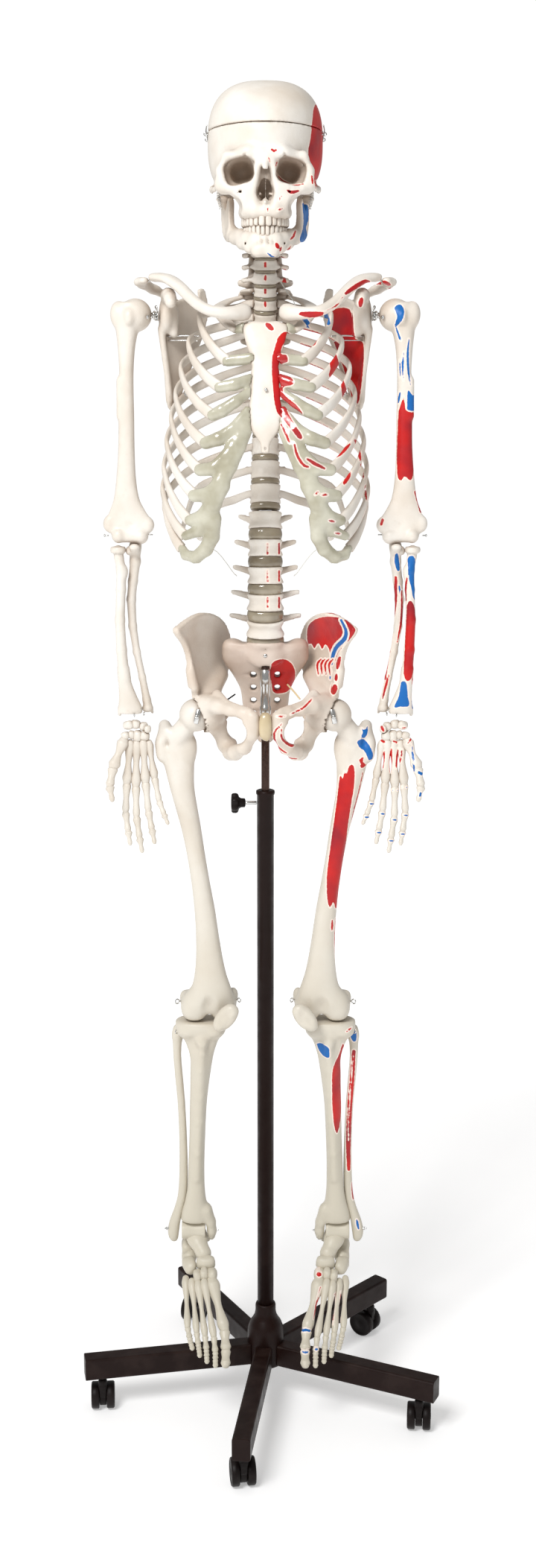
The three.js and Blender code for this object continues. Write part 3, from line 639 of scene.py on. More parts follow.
enamel = enamel_material("stand_enamel", rgb(24, 10, 7), rgb(46, 33, 29), 0.4)
black = enamel_material("black_plastic", rgb(17, 11, 10), rgb(38, 31, 30), 0.42)
thread_white = enamel_material("white_thread", rgb(205, 205, 200), rgb(225, 225, 220), 0.6)
beige = enamel_material("beige_stick", rgb(196, 178, 140), rgb(214, 200, 170), 0.5)


# ---- pieces --------------------------------------------------------------------------------------
def piece(name, shell, body, material, slot, node=None, smooth=True, red=None, blue=None):
    """A shell as a Blender object in metres that rides on a body, with its painted areas."""
    mesh = bpy.data.meshes.new(name)
    mesh.from_pydata((shell.points * MM + POLE).tolist(), [], shell.faces)
    mesh.update()
    if smooth:
        mesh.polygons.foreach_set("use_smooth", [True] * len(mesh.polygons))
    if red is not None:
        painted(mesh, "red", red)
    if blue is not None:
        painted(mesh, "blue", blue)
    obj = bpy.data.objects.new(name, mesh)
    bpy.context.scene.collection.objects.link(obj)
    obj.data.materials.append(material)
    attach(obj, body)
    if node:
        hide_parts(node)
    return obj


def nearest(*distances):
    return np.minimum.reduce(distances)


def side_pair(name, shell, body, node=None, material=bone, slot="bone_plastic", red=None, blue=None):
    """The left piece, with its paint, and the right one as its bare mirror image."""
    paint = {"red": red and red(shell.points), "blue": blue and blue(shell.points)}
    for side, half, marks in (("left", shell, paint), ("right", shell.mirrored(), {})):
        piece(f"{name}_{side}", half, f"{body}_{side}" if body else "torso", material, slot,
              f"{node}_{side}" if node else None, **marks)


# ---- skull ---------------------------------------------------------------------------------------
BRAIN = (0, -2, 1731)
BRAIN_RADII = (72.5, 93, 74)
ORBIT = (32, -88, 1688)
CAP_LOW = SKULL_CUT + 0.25
BASE_TOP = SKULL_CUT - 0.55


def vault(grow=0.0):
    """The brain case: squarer from the front than from the side, and narrower towards the face."""
    a, b, c = [radius + grow for radius in BRAIN_RADII]

    def shape(clay):
        x, y, z = clay.x - BRAIN[0], clay.y - BRAIN[1], clay.z - BRAIN[2]
        narrow = a * (1 - 0.13 * np.clip(-y / b, 0, 1) ** 1.5 - 0.06 * np.clip(y / b, 0, 1) ** 2)
        across = (np.abs(x) / narrow) ** 2.7 + (np.abs(z) / c) ** 2.7
        return ((across ** (2 / 2.7) + (y / b) ** 2) ** 0.5 - 1) * a * 0.93
    return shape


def skull_clay(low_z, high_z, step):
    clay = Clay((-80, -112, low_z), (80, 98, high_z), step, even=True)
    clay.add(vault(), 0.1)
    return clay


def skull_cap():
    clay = skull_clay(SKULL_CUT - 6, 1810, 2.4)
    clay.cut(vault(-5.5), 0.5)
    clay.keep(beyond(2, CAP_LOW), 0.2)
    return clay.shell()


def cranium_shell():
    clay = skull_clay(1604, SKULL_CUT + 5, 2.3)
    clay.keep(beyond(2, 1664), 20)
    for shape, blend in (
        (ball((0, 30, 1684), (46, 46, 22)), 14),                          # base behind the ear
        (ball((0, -20, 1678), (40, 44, 22)), 12),                         # base in front of it
        (rod((4, -93, 1706), (22, -91, 1709), 5.5, 4.6), 12),             # brow ridge
        (rod((22, -91, 1709), (46, -79, 1706), 4.6, 4.4), 9),
        (rod((47, -80, 1707), (54, -74, 1690), 5.2, 5.2), 6),             # outer rim of the orbit
        (rod((54, -74, 1690), (52, -74, 1676), 5.5, 8), 6),
        (ball((49, -72, 1673), (13, 12, 11)), 7),                         # cheek bone
        (rod((22, -90, 1672), (44, -82, 1669), 5, 6), 6),                 # lower rim
        (rod((0, -96, 1703), (1, -105, 1690), 4.6, 3), 7),                # nasal bones
        (rod((8, -95, 1698), (15, -92, 1668), 4.6, 5), 5),                # inner rim
        (ball((22, -78, 1657), (18, 17, 20)), 9),                         # cheek wall of the upper jaw
        (rod((14, -88, 1668), (13, -90, 1644), 5, 6), 5),
        (chain([(0, -91, 1641, 8), (12, -88, 1641, 8), (20.5, -77, 1641, 8), (24.5, -60, 1642, 8),
                (25.5, -44, 1643, 7)]), 7),                                # tooth arch
        (ball((0, -62, 1646), (24, 26, 7)), 6),                           # palate
        (rod((0, -92, 1653), (0, -98, 1651), 3.4, 1.8), 5),               # spine under the nose
        (ball((30, -56, 1686), (24, 20, 24)), 8),                         # wall behind the orbit
        (ball((10, -60, 1680), (16, 30, 24)), 8),
        (chain([(54, -66, 1674, 5.2), (64, -46, 1672, 4), (67, -26, 1673, 4), (62, -6, 1679, 5)],
               (1.5, 1, 1)), 4),                                           # cheek arch
        (ball((53, 18, 1672), (9, 13, 20)), 6),                           # mastoid
        (rod((44, 2, 1668), (40, -4, 1646), 3, 1.2), 4),                  # styloid
        (ball((12, 8, 1657), (9, 12, 8)), 7),                             # condyles over the neck
        (rod((14, -38, 1660), (15, -42, 1640), 4, 3), 4),                 # pterygoid plates
        (ball((0, 84, 1706), (20, 8, 10)), 16),                           # occipital bump
    ):
        clay.add(shape, blend)
    hollow = vault(-6)

    def brain_space(c):
        floor = 1706 - np.clip((c.y + 52) * 0.55, 0, 26)
        return -soft_min(-hollow(c), -(floor - c.z), 2)
    clay.cut(brain_space, 1)
    clay.cut(ball(ORBIT, (18, 24, 15.5), 14, 3.4), 1.6)
    clay.cut(ball((29, -72, 1689), (14, 30, 12.5), 12, 2.6), 3)
    clay.cut(ball((4.6, -98, 1664), (6.4, 19, 10), -7), 1.4)               # nasal opening
    clay.cut(ball((2.8, -101, 1677), (4.8, 17, 12), -6), 1.4)
    clay.cut(ball((0, -78, 1668), (9, 14, 13)), 2)
    clay.cut(ball((0, -62, 1637), (16, 24, 9)), 2)                         # roof of the mouth
    clay.cut(ball((70.5, -52, 1690), (8, 22, 20)), 6)                      # temple
    clay.cut(ball((50, -40, 1664), (11, 22, 16)), 3)                       # behind the cheek
    clay.cut(ball((37, -82, 1648), (9, 16, 10), 20), 5)                    # hollow under the cheek
    clay.cut(rod((30, -96, 1664), (30, -84, 1664), 2.0), 1.2)              # small openings of the face
    clay.cut(rod((24, -100, 1708), (24, -84, 1703), 1.5), 1.2)
    clay.cut(rod((70, 6, 1682), (50, 4, 1682), 3.2), 1.5)                  # ear
    clay.cut(ball((54, JAW[1], JAW[2] - 1), (11, 8, 7.5)), 1)              # jaw joint
    clay.cut(ball((0, 14, 1668), (15, 17, 60)), 2)                         # opening for the cord
    clay.add(rod((0, -93, 1655), (0, -76, 1668), 1.1, 1.1), 1)             # septum
    clay.add(rod((0, -92, 1666), (0, -80, 1684), 1.0, 1.0), 1)
    clay.add(rod((6, -86, 1662), (5, -70, 1662), 2.0), 1)                  # conchae
    clay.keep(beyond(2, BASE_TOP, -1), 0.2)
    return clay.shell()


def tooth_row(z, height, sizes, arch, lean):
    """Crowns along an arch: each is [distance along the arch, half-width, half-depth]."""
    a, b, front = arch
    crowns = []
    angle = 0.0
    for width, deep, tall in sizes:
        step = width / 2 / math.hypot(a * math.cos(angle), b * math.sin(angle))
        angle += step
        x = a * math.sin(angle)
        y = front + b * (1 - math.cos(angle))
        face = math.degrees(math.atan2(b * math.sin(angle), a * math.cos(angle)))
        crown = lump((0, 0, 0), (width / 2 * 0.97, deep / 2, height * tall / 2), rough=0.02, power=4.5)
        crowns.append(crown.moved(at(x, y, z, (lean * math.cos(angle), 0, face))))
        angle += step
    return both(joined(crowns))


UPPER_SIZES = [(7.8, 6.5, 1.0), (6.2, 6, 0.92), (7.0, 7.5, 1.0), (6.4, 8.5, 0.9), (6.4, 8.5, 0.88),
               (9.0, 10, 0.84), (8.8, 10, 0.82), (8.0, 9.5, 0.8)]
LOWER_SIZES = [(5.2, 6, 0.92), (5.6, 6, 0.94), (6.4, 7, 1.0), (6.4, 7.5, 0.92), (6.8, 8, 0.9),
               (9.6, 9.5, 0.86), (9.2, 9.5, 0.84), (8.8, 9, 0.8)]


def mandible_shell():
    clay = Clay((-66, -102, 1582), (66, 12, 1680), 1.9, even=True)
    ramus = [(-36, 1626), (-34, 1642), (-35, 1656), (-30, 1663), (-24, 1657), (-16, 1650), (-8, 1656),
             (0, 1659),
             (5, 1650), (3, 1634), (-3, 1621), (-14, 1613), (-30, 1611)]
    clay.add(chain([(0, -88, 1598, 7), (9, -88, 1597, 6.6), (18, -79, 1599, 6), (28, -62, 1605, 5.8),
                    (38, -42, 1613, 5.8), (45, -22, 1620, 5.6)], blend=7), 5)
    clay.add(chain([(0, -86, 1610, 6.5), (12, -83, 1610, 6.5), (21, -72, 1612, 6.5), (29, -54, 1616, 6.5),
                    (37, -34, 1620, 6)], blend=7), 10)
    clay.add(ball((0, -92, 1597), (11, 5, 8)), 7)
    clay.add(ball((10, -92, 1593), (6, 4, 5)), 6)
    clay.add(plate(rounded(ramus), (51.5, 0, 0), (0.27, 0.963, 0), (0, 0, 1), 5, 1.6), 6)
    clay.add(rod((50, -4, 1650), (54, JAW[1], JAW[2] - 3), 4.4, 4), 4)
    clay.add(ball((54, JAW[1], JAW[2]), (8.5, 4.3, 4.3)), 3)
    clay.cut(rod((24, -96, 1604), (24, -74, 1604), 1.4), 1.2)
    for x, z in ((4, 1606), (10, 1606), (16, 1607)):
        clay.cut(ball((x, -96, z + 3), (1.6, 4, 7)), 3)                    # furrows between the roots
    return clay.shell()


def screw_head(radius, height, slot=True):
    """A domed screw head, its axis along Z and its flat side at z 0."""
    profile = [(radius, 0), (radius, height * 0.35), (radius * 0.86, height * 0.75), (radius * 0.5, height),
               (0.01, height * 1.05)]
    head = turned(profile, 16)
    if slot:
        head = joined([head, tube([(-radius * 0.7, 0, height, 0.5, 0.35),
                                   (radius * 0.7, 0, height, 0.5, 0.35)],
                                  6, (0, 0, 1), 1)])
    return head


def spring(start, end, radius, turns, thick):
    start, end = np.array(start, float), np.array(end, float)
    along = end - start
    side = np.cross(along, (0.3, 0.2, 1.0))
    side /= np.linalg.norm(side)
    other = np.cross(along / np.linalg.norm(along), side)
    points = []
    for i in range(turns * 10 + 1):
        angle = i * 2 * math.pi / 10
        centre = start + along * i / (turns * 10)
        points.append(centre + radius * (math.cos(angle) * side + math.sin(angle) * other))
    return wire(points, thick, 5, 1)


def eye_screw(centre, outward, radius=3.2, stem=9, thick=0.9):
    """A screw eye: a ring on a threaded stem that goes into the bone along -outward."""
    centre, outward = np.array(centre, float), np.array(outward, float)
    outward /= np.linalg.norm(outward)
    side = np.cross(outward, (0, 0, 1.0))
    side /= np.linalg.norm(side)
    lift = np.cross(side, outward)
    hub = centre + outward * (stem * 0.4 + radius)
    ring = [hub + radius * (math.cos(a) * outward + math.sin(a) * lift)
            for a in np.linspace(math.pi, -math.pi * 0.9, 14)]
    return wire([centre - outward * stem * 0.6, centre, *ring], thick, 6, 2)


def temple_red(p):
    """The chewing muscle's fan on the left temple."""
    side = outline_distance(p[:, 1], p[:, 2], rounded([
        (-58, 1690), (-62, 1706), (-56, 1730), (-50, 1752), (-38, 1768), (-16, 1776), (14, 1772), (34, 1752),
        (38, 1724), (22, 1702), (0, 1690), (-30, 1684)]))
    return np.maximum(side, 53 - p[:, 0])


def face_red(p):
    """The short strokes round the orbit, nose and cheek, with the temple's fan."""
    strokes = [
        stroke(p, [(8, 1712), (11, 1710), (14, 1712)], 3.2), stroke(p, [(4, 1703), (6, 1697)], 2.2, 0.5),
        stroke(p, [(15, 1700), (12.5, 1692)], 1.6, 0.5),
        stroke(p, [(15, 1687), (22, 1681), (31, 1677)], 2.6, 0.6),
        stroke(p, [(33, 1674), (50, 1673)], 2.2, 0.5),
        stroke(p, [(27, 1665), (32, 1663), (41, 1665)], 4.2, 0.5),
        stroke(p, [(20, 1659), (17, 1653)], 2.6, 0.4),
        stroke(p, [(3, 1647), (3.2, 1640)], 2.2, 0.5), stroke(p, [(15, 1641), (21, 1644)], 2.8, 0.5),
        stroke(p, [(57, 1684), (58, 1674)], 3.0, 0.4), stroke(p, [(61, 1686), (62, 1672)], 3.0, 0.4),
    ]
    front = np.maximum(nearest(*strokes), p[:, 1] + 20)
    return nearest(front, temple_red(p))


def jaw_red(p):
    strokes = [
        stroke(p, [(38, 1622), (35, 1614), (31, 1609)], 3.0, 0.5),
        stroke(p, [(14, 1602), (16, 1598)], 5.5, 0.3),
        stroke(p, [(20, 1599), (18, 1594)], 2.6, 0.4), stroke(p, [(32, 1602), (22, 1588)], 2.6, 0.5),
        stroke(p, [(37, 1600), (29, 1587)], 2.0, 0.5)]
    return np.maximum(nearest(*strokes), p[:, 1] + 20)


def jaw_blue(p):
    muscle = np.maximum(patch(p, [(46, 1656), (54, 1656), (55, 1640), (52, 1628), (55, 1614), (50, 1610),
                                  (43, 1610),
                                  (47, 1626), (48, 1642)]), 40 - p[:, 0])
    return nearest(muscle, stroke(p, [(3, 1591), (10, 1586.5), (17, 1586)], 2.8, 0.4))


def build_skull():
    cap = skull_cap()
    piece("skull_cap_bone", cap, "cap", bone, "bone_plastic", "skull_cap", red=temple_red(cap.points))
    skull = cranium_shell()
    piece("cranium_bone", skull, "head", bone, "bone_plastic", "cranium", red=face_red(skull.points))
    piece("upper_teeth", tooth_row(1630.5, 13.5, UPPER_SIZES, (25, 42, -93), -6), "head", tooth,
          "bone_plastic")
    jaw = mandible_shell()
    piece("mandible_bone", jaw, "jaw", bone, "bone_plastic", "mandible", red=jaw_red(jaw.points),
          blue=jaw_blue(jaw.points))
    piece("lower_teeth", tooth_row(1618.5, 13.5, LOWER_SIZES, (23.5, 40, -90.5), 6), "jaw", tooth,
          "bone_plastic")
    latches = []
    for y in (-16, 34):
        latches.append(eye_screw((71, y, SKULL_CUT - 5), (1, 0, 0.15), 2, 4, 0.7))
        latches.append(wire([(73.5, y, SKULL_CUT - 5), (74, y, SKULL_CUT), (73, y, SKULL_CUT + 6)], 0.8))
    piece("cap_latches", both(joined(latches)), "head", chrome, "chrome_steel")
    springs = spring((60, -6, 1673), (56, -16, 1650), 1.6, 7, 0.45)
    piece("jaw_springs", both(springs), "head", chrome, "chrome_steel")


# ---- spine ---------------------------------------------------------------------------------------
SPINE_CURVE = [
    [1098, 2], [1115, -5], [1150, -10], [1188, -11], [1225, -8], [1260, -2], [1290, 7], [1346, 20],
    [1391, 31], [1432, 35], [1469, 31], [1502, 22], [1534, 11], [1567, 2], [1600, 0], [1650, 7],
]


def read_off(z, rows, column):
    """A column of a table at a height, between the rows; heights are the table's first column."""
    return float(np.interp(z, [row[0] for row in rows], [row[column] for row in rows]))


def spine_y(z):
    return read_off(z, SPINE_CURVE, 1)


def spine_tilt(z):
    """How far the column leans at a height, in degrees about X."""
    return -math.degrees(math.atan2(spine_y(z + 12) - spine_y(z - 12), 24))


def vertebra(half, deep, tall, reach, reach_back, reach_up, spine, drop, neck=False, waist=0.88, tip=4):
    """One vertebra round its body's centre, facing -Y.

    The reach values place the tips of the side processes, and spine and drop the tip of the rear one.
    """
    clay = Clay((-reach - 7, -deep - 4, -tall / 2 - drop - 8), (reach + 7, deep + spine + 8, tall / 2 + 14),
                2.3,
                even=True)
    clay.add(stack([(-tall / 2, 0, 0, half, deep), (-tall * 0.38, 0, 0, half * 0.99, deep * 0.99),
                    (0, 0, 0, half * waist, deep * waist),
                    (tall * 0.38, 0, 0, half * 0.97, deep * 0.97),
                    (tall / 2, 0, 0, half * 0.98, deep * 0.98)],
                   2.3, 1.2), 0.1)
    pillar = half * 0.62 if not neck else half + 3
    thick = 4.2 if neck else 5.2
    clay.add(rod((half * 0.55, deep * 0.55, tall * 0.18), (pillar, deep + 6, tall * 0.14), thick), 3)
    clay.add(rod((pillar, deep + 9, tall * 0.62), (pillar + 1, deep + 11, -tall * 0.62), thick, thick - 1), 3)
    clay.add(rod((pillar, deep + 9, 0), (0, deep + 17, -3), thick - 0.5, thick), 3)
    clay.add(chain([(0, deep + 15, -1, 4.5), (0, deep + spine * 0.6, -drop * 0.6, 4.6),
                    (0, deep + spine, -drop, 5)],
                   (1.5, 1, 1)), 3)
    if neck:
        clay.add(rod((half * 0.8, 0, -1), (reach, deep * 0.4, -tall * 0.22), 3.6, 3.0), 3)
        clay.add(rod((pillar, deep + 4, -1), (reach, deep * 0.8, -tall * 0.22), 3.4, 3.0), 3)
        clay.add(rod((half * 0.86, 0, tall * 0.3), (half * 0.9, 0, tall * 0.55), 2.6, 1.6), 2)
        clay.cut(rod((half + 5, deep * 0.35, -20), (half + 5, deep * 0.35, 20), 2.4), 1)
    else:
        clay.add(rod((pillar, deep + 5, tall * 0.12), (reach, deep + reach_back, reach_up), 5.4, tip,
                     (1, 1.5, 1)), 4)
    clay.cut(ball((0, deep + 6.5, 0), (half * 0.48, 8, 60)), 1)
    return clay.shell()


def disc_levels(count, low, high, first_pitch):
    """The heights between the vertebrae of a run, which grow evenly shorter or taller upwards."""
    change = 2 * ((high - low) / count - first_pitch) / (count - 1)
    levels = [low]
    for i in range(count):
        levels.append(levels[-1] + first_pitch + change * i)
    return levels


LUMBAR_LEVELS = disc_levels(5, SACRUM_TOP + 0.5, THORAX_LOW, 35)
THORAX_LEVELS = disc_levels(12, THORAX_LOW, NECK_LOW, 32)
NECK_LEVELS = disc_levels(7, NECK_LOW, HEAD_TURN[2] - 2.5, 17)


def spine_run(levels, make):
    """Vertebrae and the discs under them between the given heights."""
    bones, discs = [], []
    for i, (edge, top) in enumerate(zip(levels, levels[1:])):
        pitch = top - edge
        z = edge + pitch / 2
        half, deep, tall, shell = make(i / (len(levels) - 2), pitch)
        bones.append(shell.moved(at(0, spine_y(z), z + pitch * 0.06, (spine_tilt(z), 0, 0))))
        thick = (pitch - tall) / 2 + 0.6
        disc = turned([(0.9, -thick), (0.96, -thick * 0.5), (0.98, 0), (0.96, thick * 0.5), (0.9, thick)], 32)
        disc.points *= [half, deep, 1]
        discs.append(disc.moved(at(0, spine_y(edge), edge + pitch * 0.06, (spine_tilt(edge), 0, 0))))
    return joined(bones), joined(discs)


def lumbar(share, pitch):
    half, deep, tall = 25.5 - 2.8 * share, 17 - share, pitch * 0.62
    reach = 44 - 9 * share if share < 0.9 else 32
    return half, deep, tall, vertebra(half, deep, tall, reach + 1, 6, 9, 33, 5, waist=0.84, tip=3.6)


def thoracic(share, pitch):
    half = 20.5 - 5.5 * math.sin(min(share * 1.3, 1) * math.pi / 2) + 2 * max(share - 0.7, 0)
    deep, tall = 15.5 - 3.5 * share, pitch * 0.78
    return half, deep, tall, vertebra(half, deep, tall, 24 + 8 * share, 12, 6, 32, 16, tip=4.6)


def cervical(share, pitch):
    half, deep, tall = 14.5 - 1.5 * share, 9 - 0.8 * share, pitch * 0.84
    return half, deep, tall, vertebra(half, deep, tall, 28 - 3 * share, 0, 0, 22 - 4 * share, 5, neck=True)


def dashes(p, rows, x, height, width):
    return nearest(*[stroke(p, [(x, z - height / 2), (x, z + height / 2)], width) for z in rows])


def build_spine():
    lumbar_bones, lumbar_discs = spine_run(LUMBAR_LEVELS, lumbar)
    chest_bones, chest_discs = spine_run(THORAX_LEVELS, thoracic)
    neck_bones, neck_discs = spine_run(NECK_LEVELS, cervical)
    rows = [(LUMBAR_LEVELS[n] + LUMBAR_LEVELS[n + 1]) / 2 + 2 for n in (1, 2, 3)]
    p = lumbar_bones.points
    marks = np.maximum(nearest(dashes(p, rows, 3, 13, 2.8), dashes(p, rows, 18, 13, 2.8)), p[:, 1])
    piece("lumbar_vertebrae", lumbar_bones, "torso", bone, "bone_plastic", "lumbar_spine", red=marks)
    rows = [(THORAX_LEVELS[n] + THORAX_LEVELS[n + 1]) / 2 + 1 for n in (10, 11)]
    rows += [(NECK_LEVELS[n] + NECK_LEVELS[n + 1]) / 2 + 1 for n in range(4)]
    p = chest_bones.points
    piece("thoracic_vertebrae", chest_bones, "torso", bone, "bone_plastic", "thoracic_spine",
          red=np.maximum(dashes(p, rows, 0, 4.5, 3.4), p[:, 1] - 14))
    p = neck_bones.points
    marks = np.maximum(dashes(p, rows, 0, 4.5, 3.4), p[:, 1] - 2)
    dots = nearest(*[np.linalg.norm(p - (24, 6, z - 3), axis=1) - 4.5 for z in rows[2:]])
    piece("cervical_vertebrae", neck_bones, "torso", bone, "bone_plastic", "cervical_spine",
          red=nearest(marks, dots))
    discs = joined([lumbar_discs, chest_discs, neck_discs])
    piece("spine_discs", discs, "torso", disc_gristle, "cartilage")


# ---- rib cage ------------------------------------------------------------------------------------
# Each rib from the top: its widest point as (half-width, height), and the front end of its bone.
RIBS = [
    ((59, 1530), (36, -56, 1501)), ((84, 1520), (48, -78, 1463)), ((98, 1487), (57, -93, 1431)),
    ((108, 1456), (66, -101, 1397)), ((115, 1424), (75, -105, 1363)), ((121, 1396), (82, -105, 1330)),
    ((127, 1366), (90, -103, 1300)), ((131, 1334), (96, -96, 1267)), ((133, 1306), (102, -86, 1247)),
    ((131, 1286), (107, -72, 1230)), ((120, 1262), (112, -16, 1240)), ((94, 1248), (88, 36, 1234)),
]
# The cartilages of ribs 1 to 10, each with the half-height that it has at its points.
CARTILAGE = [
    [(34, -57, 1502, 6), (27, -62, 1504, 7)],
    [(47, -78, 1463, 7), (18, -80, 1466, 7.5)],
    [(56, -93, 1431, 7.5), (38, -95, 1434, 7.5), (17, -87, 1441, 7)],
    [(65, -101, 1397, 7.5), (54, -103, 1402, 8), (37, -101, 1413, 7), (18, -92, 1426, 6)],
    [(74, -105, 1363, 8), (58, -110, 1368, 8.5), (40, -107, 1380, 7), (21, -98, 1403, 6)],
    [(81, -106, 1330, 8), (63, -113, 1332, 9), (47, -113, 1347, 9), (32, -108, 1372, 8), (20, -101, 1393, 6)],
    [(89, -104, 1298, 8), (70, -113, 1300, 10), (56, -116, 1313, 10), (44, -115, 1335, 9.5),
     (33, -110, 1358, 9),
     (22, -104, 1380, 7)],
    [(95, -97, 1267, 7), (79, -107, 1272, 9), (66, -114, 1288, 10), (54, -116, 1310, 10)],
    [(101, -88, 1247, 6), (84, -101, 1254, 7.5), (72, -109, 1268, 9), (64, -114, 1290, 10)],
    [(106, -74, 1230, 5.5), (101, -81, 1222, 6.5), (88, -91, 1220, 8), (75, -99, 1231, 9),
     (67, -106, 1247, 9.5),
     (64, -112, 1270, 9.5)],
]
STERNUM = [
    [0, -60, 1512, 27, 6], [0, -64, 1501, 28, 6.5], [0, -70, 1484, 24, 6.5], [0, -76, 1470, 20, 6.5],
    [0, -81, 1458, 18, 6], [0, -86, 1444, 18, 6], [0, -92, 1425, 19, 5.5], [0, -98, 1400, 21, 5.5],
    [0, -102, 1383, 20, 5.5], [0, -104.5, 1371, 12, 4.5], [0, -106, 1362, 6.5, 3.2], [0, -108, 1350, 5, 2.6],
]


# How far a rib has come in, forwards and down at points between its widest point and its front end.
RIB_BEND = [(0.06, 0.22, 0.2), (0.23, 0.49, 0.45), (0.54, 0.77, 0.73), (0.81, 0.93, 0.9), (1, 1, 1)]


def rib_stations(number):
    (width, side), front = RIBS[number]
    top = (THORAX_LEVELS[11 - number] + THORAX_LEVELS[12 - number]) / 2
    back = spine_y(top)
    tall = 5.6 if number else 3
    deep = 2.8 if number else 8
    drop = side - top
    path = [
        (14.5, back + 6, top + 3, tall * 0.85, deep + 0.8),
        (24, back + 14, top + 3 + drop * 0.04, tall * 0.85, deep + 0.6),
        (width * 0.44, back + 27, top + drop * 0.14, tall * 0.95, deep + 0.4),
        (width * 0.76, back + 22, top + drop * 0.42, tall, deep),
    ]
    if number < 10:
        path += [(width * 0.95, back * 0.4 + 6, top + drop * 0.76, tall, deep),
                 (width, -20, side, tall, deep)]
        for across, forward, down in RIB_BEND:
            path.append((width + (front[0] - width) * across, -20 + (front[1] + 20) * forward,
                         side + (front[2] - side) * down, tall * (1 + 0.32 * down), deep * (1 + 0.2 * down)))
    else:
        path.append((*front, tall * 0.75, deep * 0.8))
    return path


def rib(number):
    return tube(rib_stations(number), 14, (0, 0, 1), 6, ends=number >= 10, power=2.6)


def sternum_body(grow, soft):
    return stack([[z, x, y, a + grow, b + grow] for x, y, z, a, b in reversed(STERNUM)], 2.4, soft)


def cartilage_shell():
    clay = Clay((4, -126, 1212), (116, -48, 1516), 2.1)
    for line in CARTILAGE:
        clay.add(chain(line, (1, 1.55, 1), 2), 3.5)
    for x, y, z in ((40, -112, 1357), (46, -114, 1338), (57, -115, 1316), (62, -114, 1298)):
        clay.add(ball((x, y, z), (8, 5, 9)), 4)
    clay.cut(sternum_body(0.5, 1.5), 0.4)
    return clay.shell()


def sternum_shell():
    clay = Clay((-32, -116, 1344), (32, -48, 1520), 1.9, even=True)
    clay.add(sternum_body(0, 2), 0.1)
    clay.cut(ball((0, -58, 1519), (13, 20, 8)), 3)
    clay.cut(ball((25, -60, 1517), (8, 20, 7)), 3)
    for z, x in ((1456, 19.5), (1434, 20.5), (1416, 22), (1400, 23), (1388, 22)):
        clay.cut(ball((x + 1, -90, z), (3.4, 30, 4.6)), 2)
    clay.add(rod((15, -74.5, 1461), (-15, -74.5, 1461), 1.2), 3)
    clay.cut(rod((0, -108, 1356), (0, -100, 1356), 1.6), 1)
    return clay.shell()


def breast_red(p):
    """The chest muscle's long band beside the sternum with its fingers along the cartilages."""
    band = patch(p, [(15, 1490), (24, 1499), (32, 1496), (30, 1490), (22, 1482), (20, 1472), (27, 1470),
                     (28, 1462),
                     (21, 1459), (20, 1449), (25, 1447), (34, 1441), (34, 1434), (23, 1431), (24, 1422),
                     (38, 1410), (46, 1400), (43, 1395), (34, 1400), (27, 1404), (34, 1390), (46, 1372),
                     (42, 1368), (32, 1380), (22, 1392), (14, 1402), (10.5, 1420), (8.5, 1444), (9, 1470)])
    low = nearest(stroke(p, [(36, 1362), (40, 1348), (47, 1337), (54, 1334)], 3.8, 0.3),
                  stroke(p, [(52, 1344), (62, 1338), (74, 1332)], 4.6, 0.4),
                  stroke(p, [(20, 1386), (25, 1376), (30, 1364)], 3.4, 0.3),
                  stroke(p, [(70, 1300), (78, 1300)], 3.4, 0.5),
                  stroke(p, [(80, 1268), (87, 1266)], 3.4, 0.5),
                  stroke(p, [(88, 1252), (95, 1250)], 3, 0.5), stroke(p, [(62, 1300), (66, 1304)], 3, 0.5))
    return np.maximum(nearest(band, low), p[:, 1] + 50)


def ribs_red(p):
    fronts = [
        stroke(p, [(66, 1500), (60, 1484)], 7, 0.2), stroke(p, [(82, 1478), (88, 1455), (84, 1446)], 13, 0.3),
        patch(p, [(64, 1424), (80, 1433), (78, 1424), (66, 1416), (60, 1418)]),
        patch(p, [(78, 1385), (98, 1402), (99, 1396), (84, 1380), (78, 1379)]),
        patch(p, [(84, 1349), (98, 1356), (108, 1364), (107, 1359), (96, 1348), (85, 1344)]),
        patch(p, [(97, 1314), (108, 1328), (107, 1320), (99, 1310)]),
        stroke(p, [(97, 1440), (101, 1420), (104, 1410)], 8, 0.5),
        stroke(p, [(113, 1368), (119, 1352), (121, 1340)], 4.6, 0.4),
        stroke(p, [(122, 1336), (126, 1318)], 4.2, 0.4), stroke(p, [(128, 1308), (130, 1290)], 3.6, 0.4),
    ]
    return np.maximum(nearest(*fronts), p[:, 1] + 30)


def ribs_blue(p):
    return nearest(stroke(p, [(47, 1519), (55, 1507), (57, 1503)], 6), stroke(p, [(78, 1523), (80, 1510)], 5))


def rib_edge_red(p, number):
    """The thin line along the upper edge of each rib's inner face."""
    rows = smooth_line(rib_stations(number), 6)
    near = np.full(len(p), UNPAINTED)
    for row in rows[len(rows) // 5:-len(rows) // 4]:
        edge = row[:3] + (0, 0, -row[3] * 0.9)
        near = np.minimum(near, np.linalg.norm(p - edge, axis=1) - 3.0)
    return near


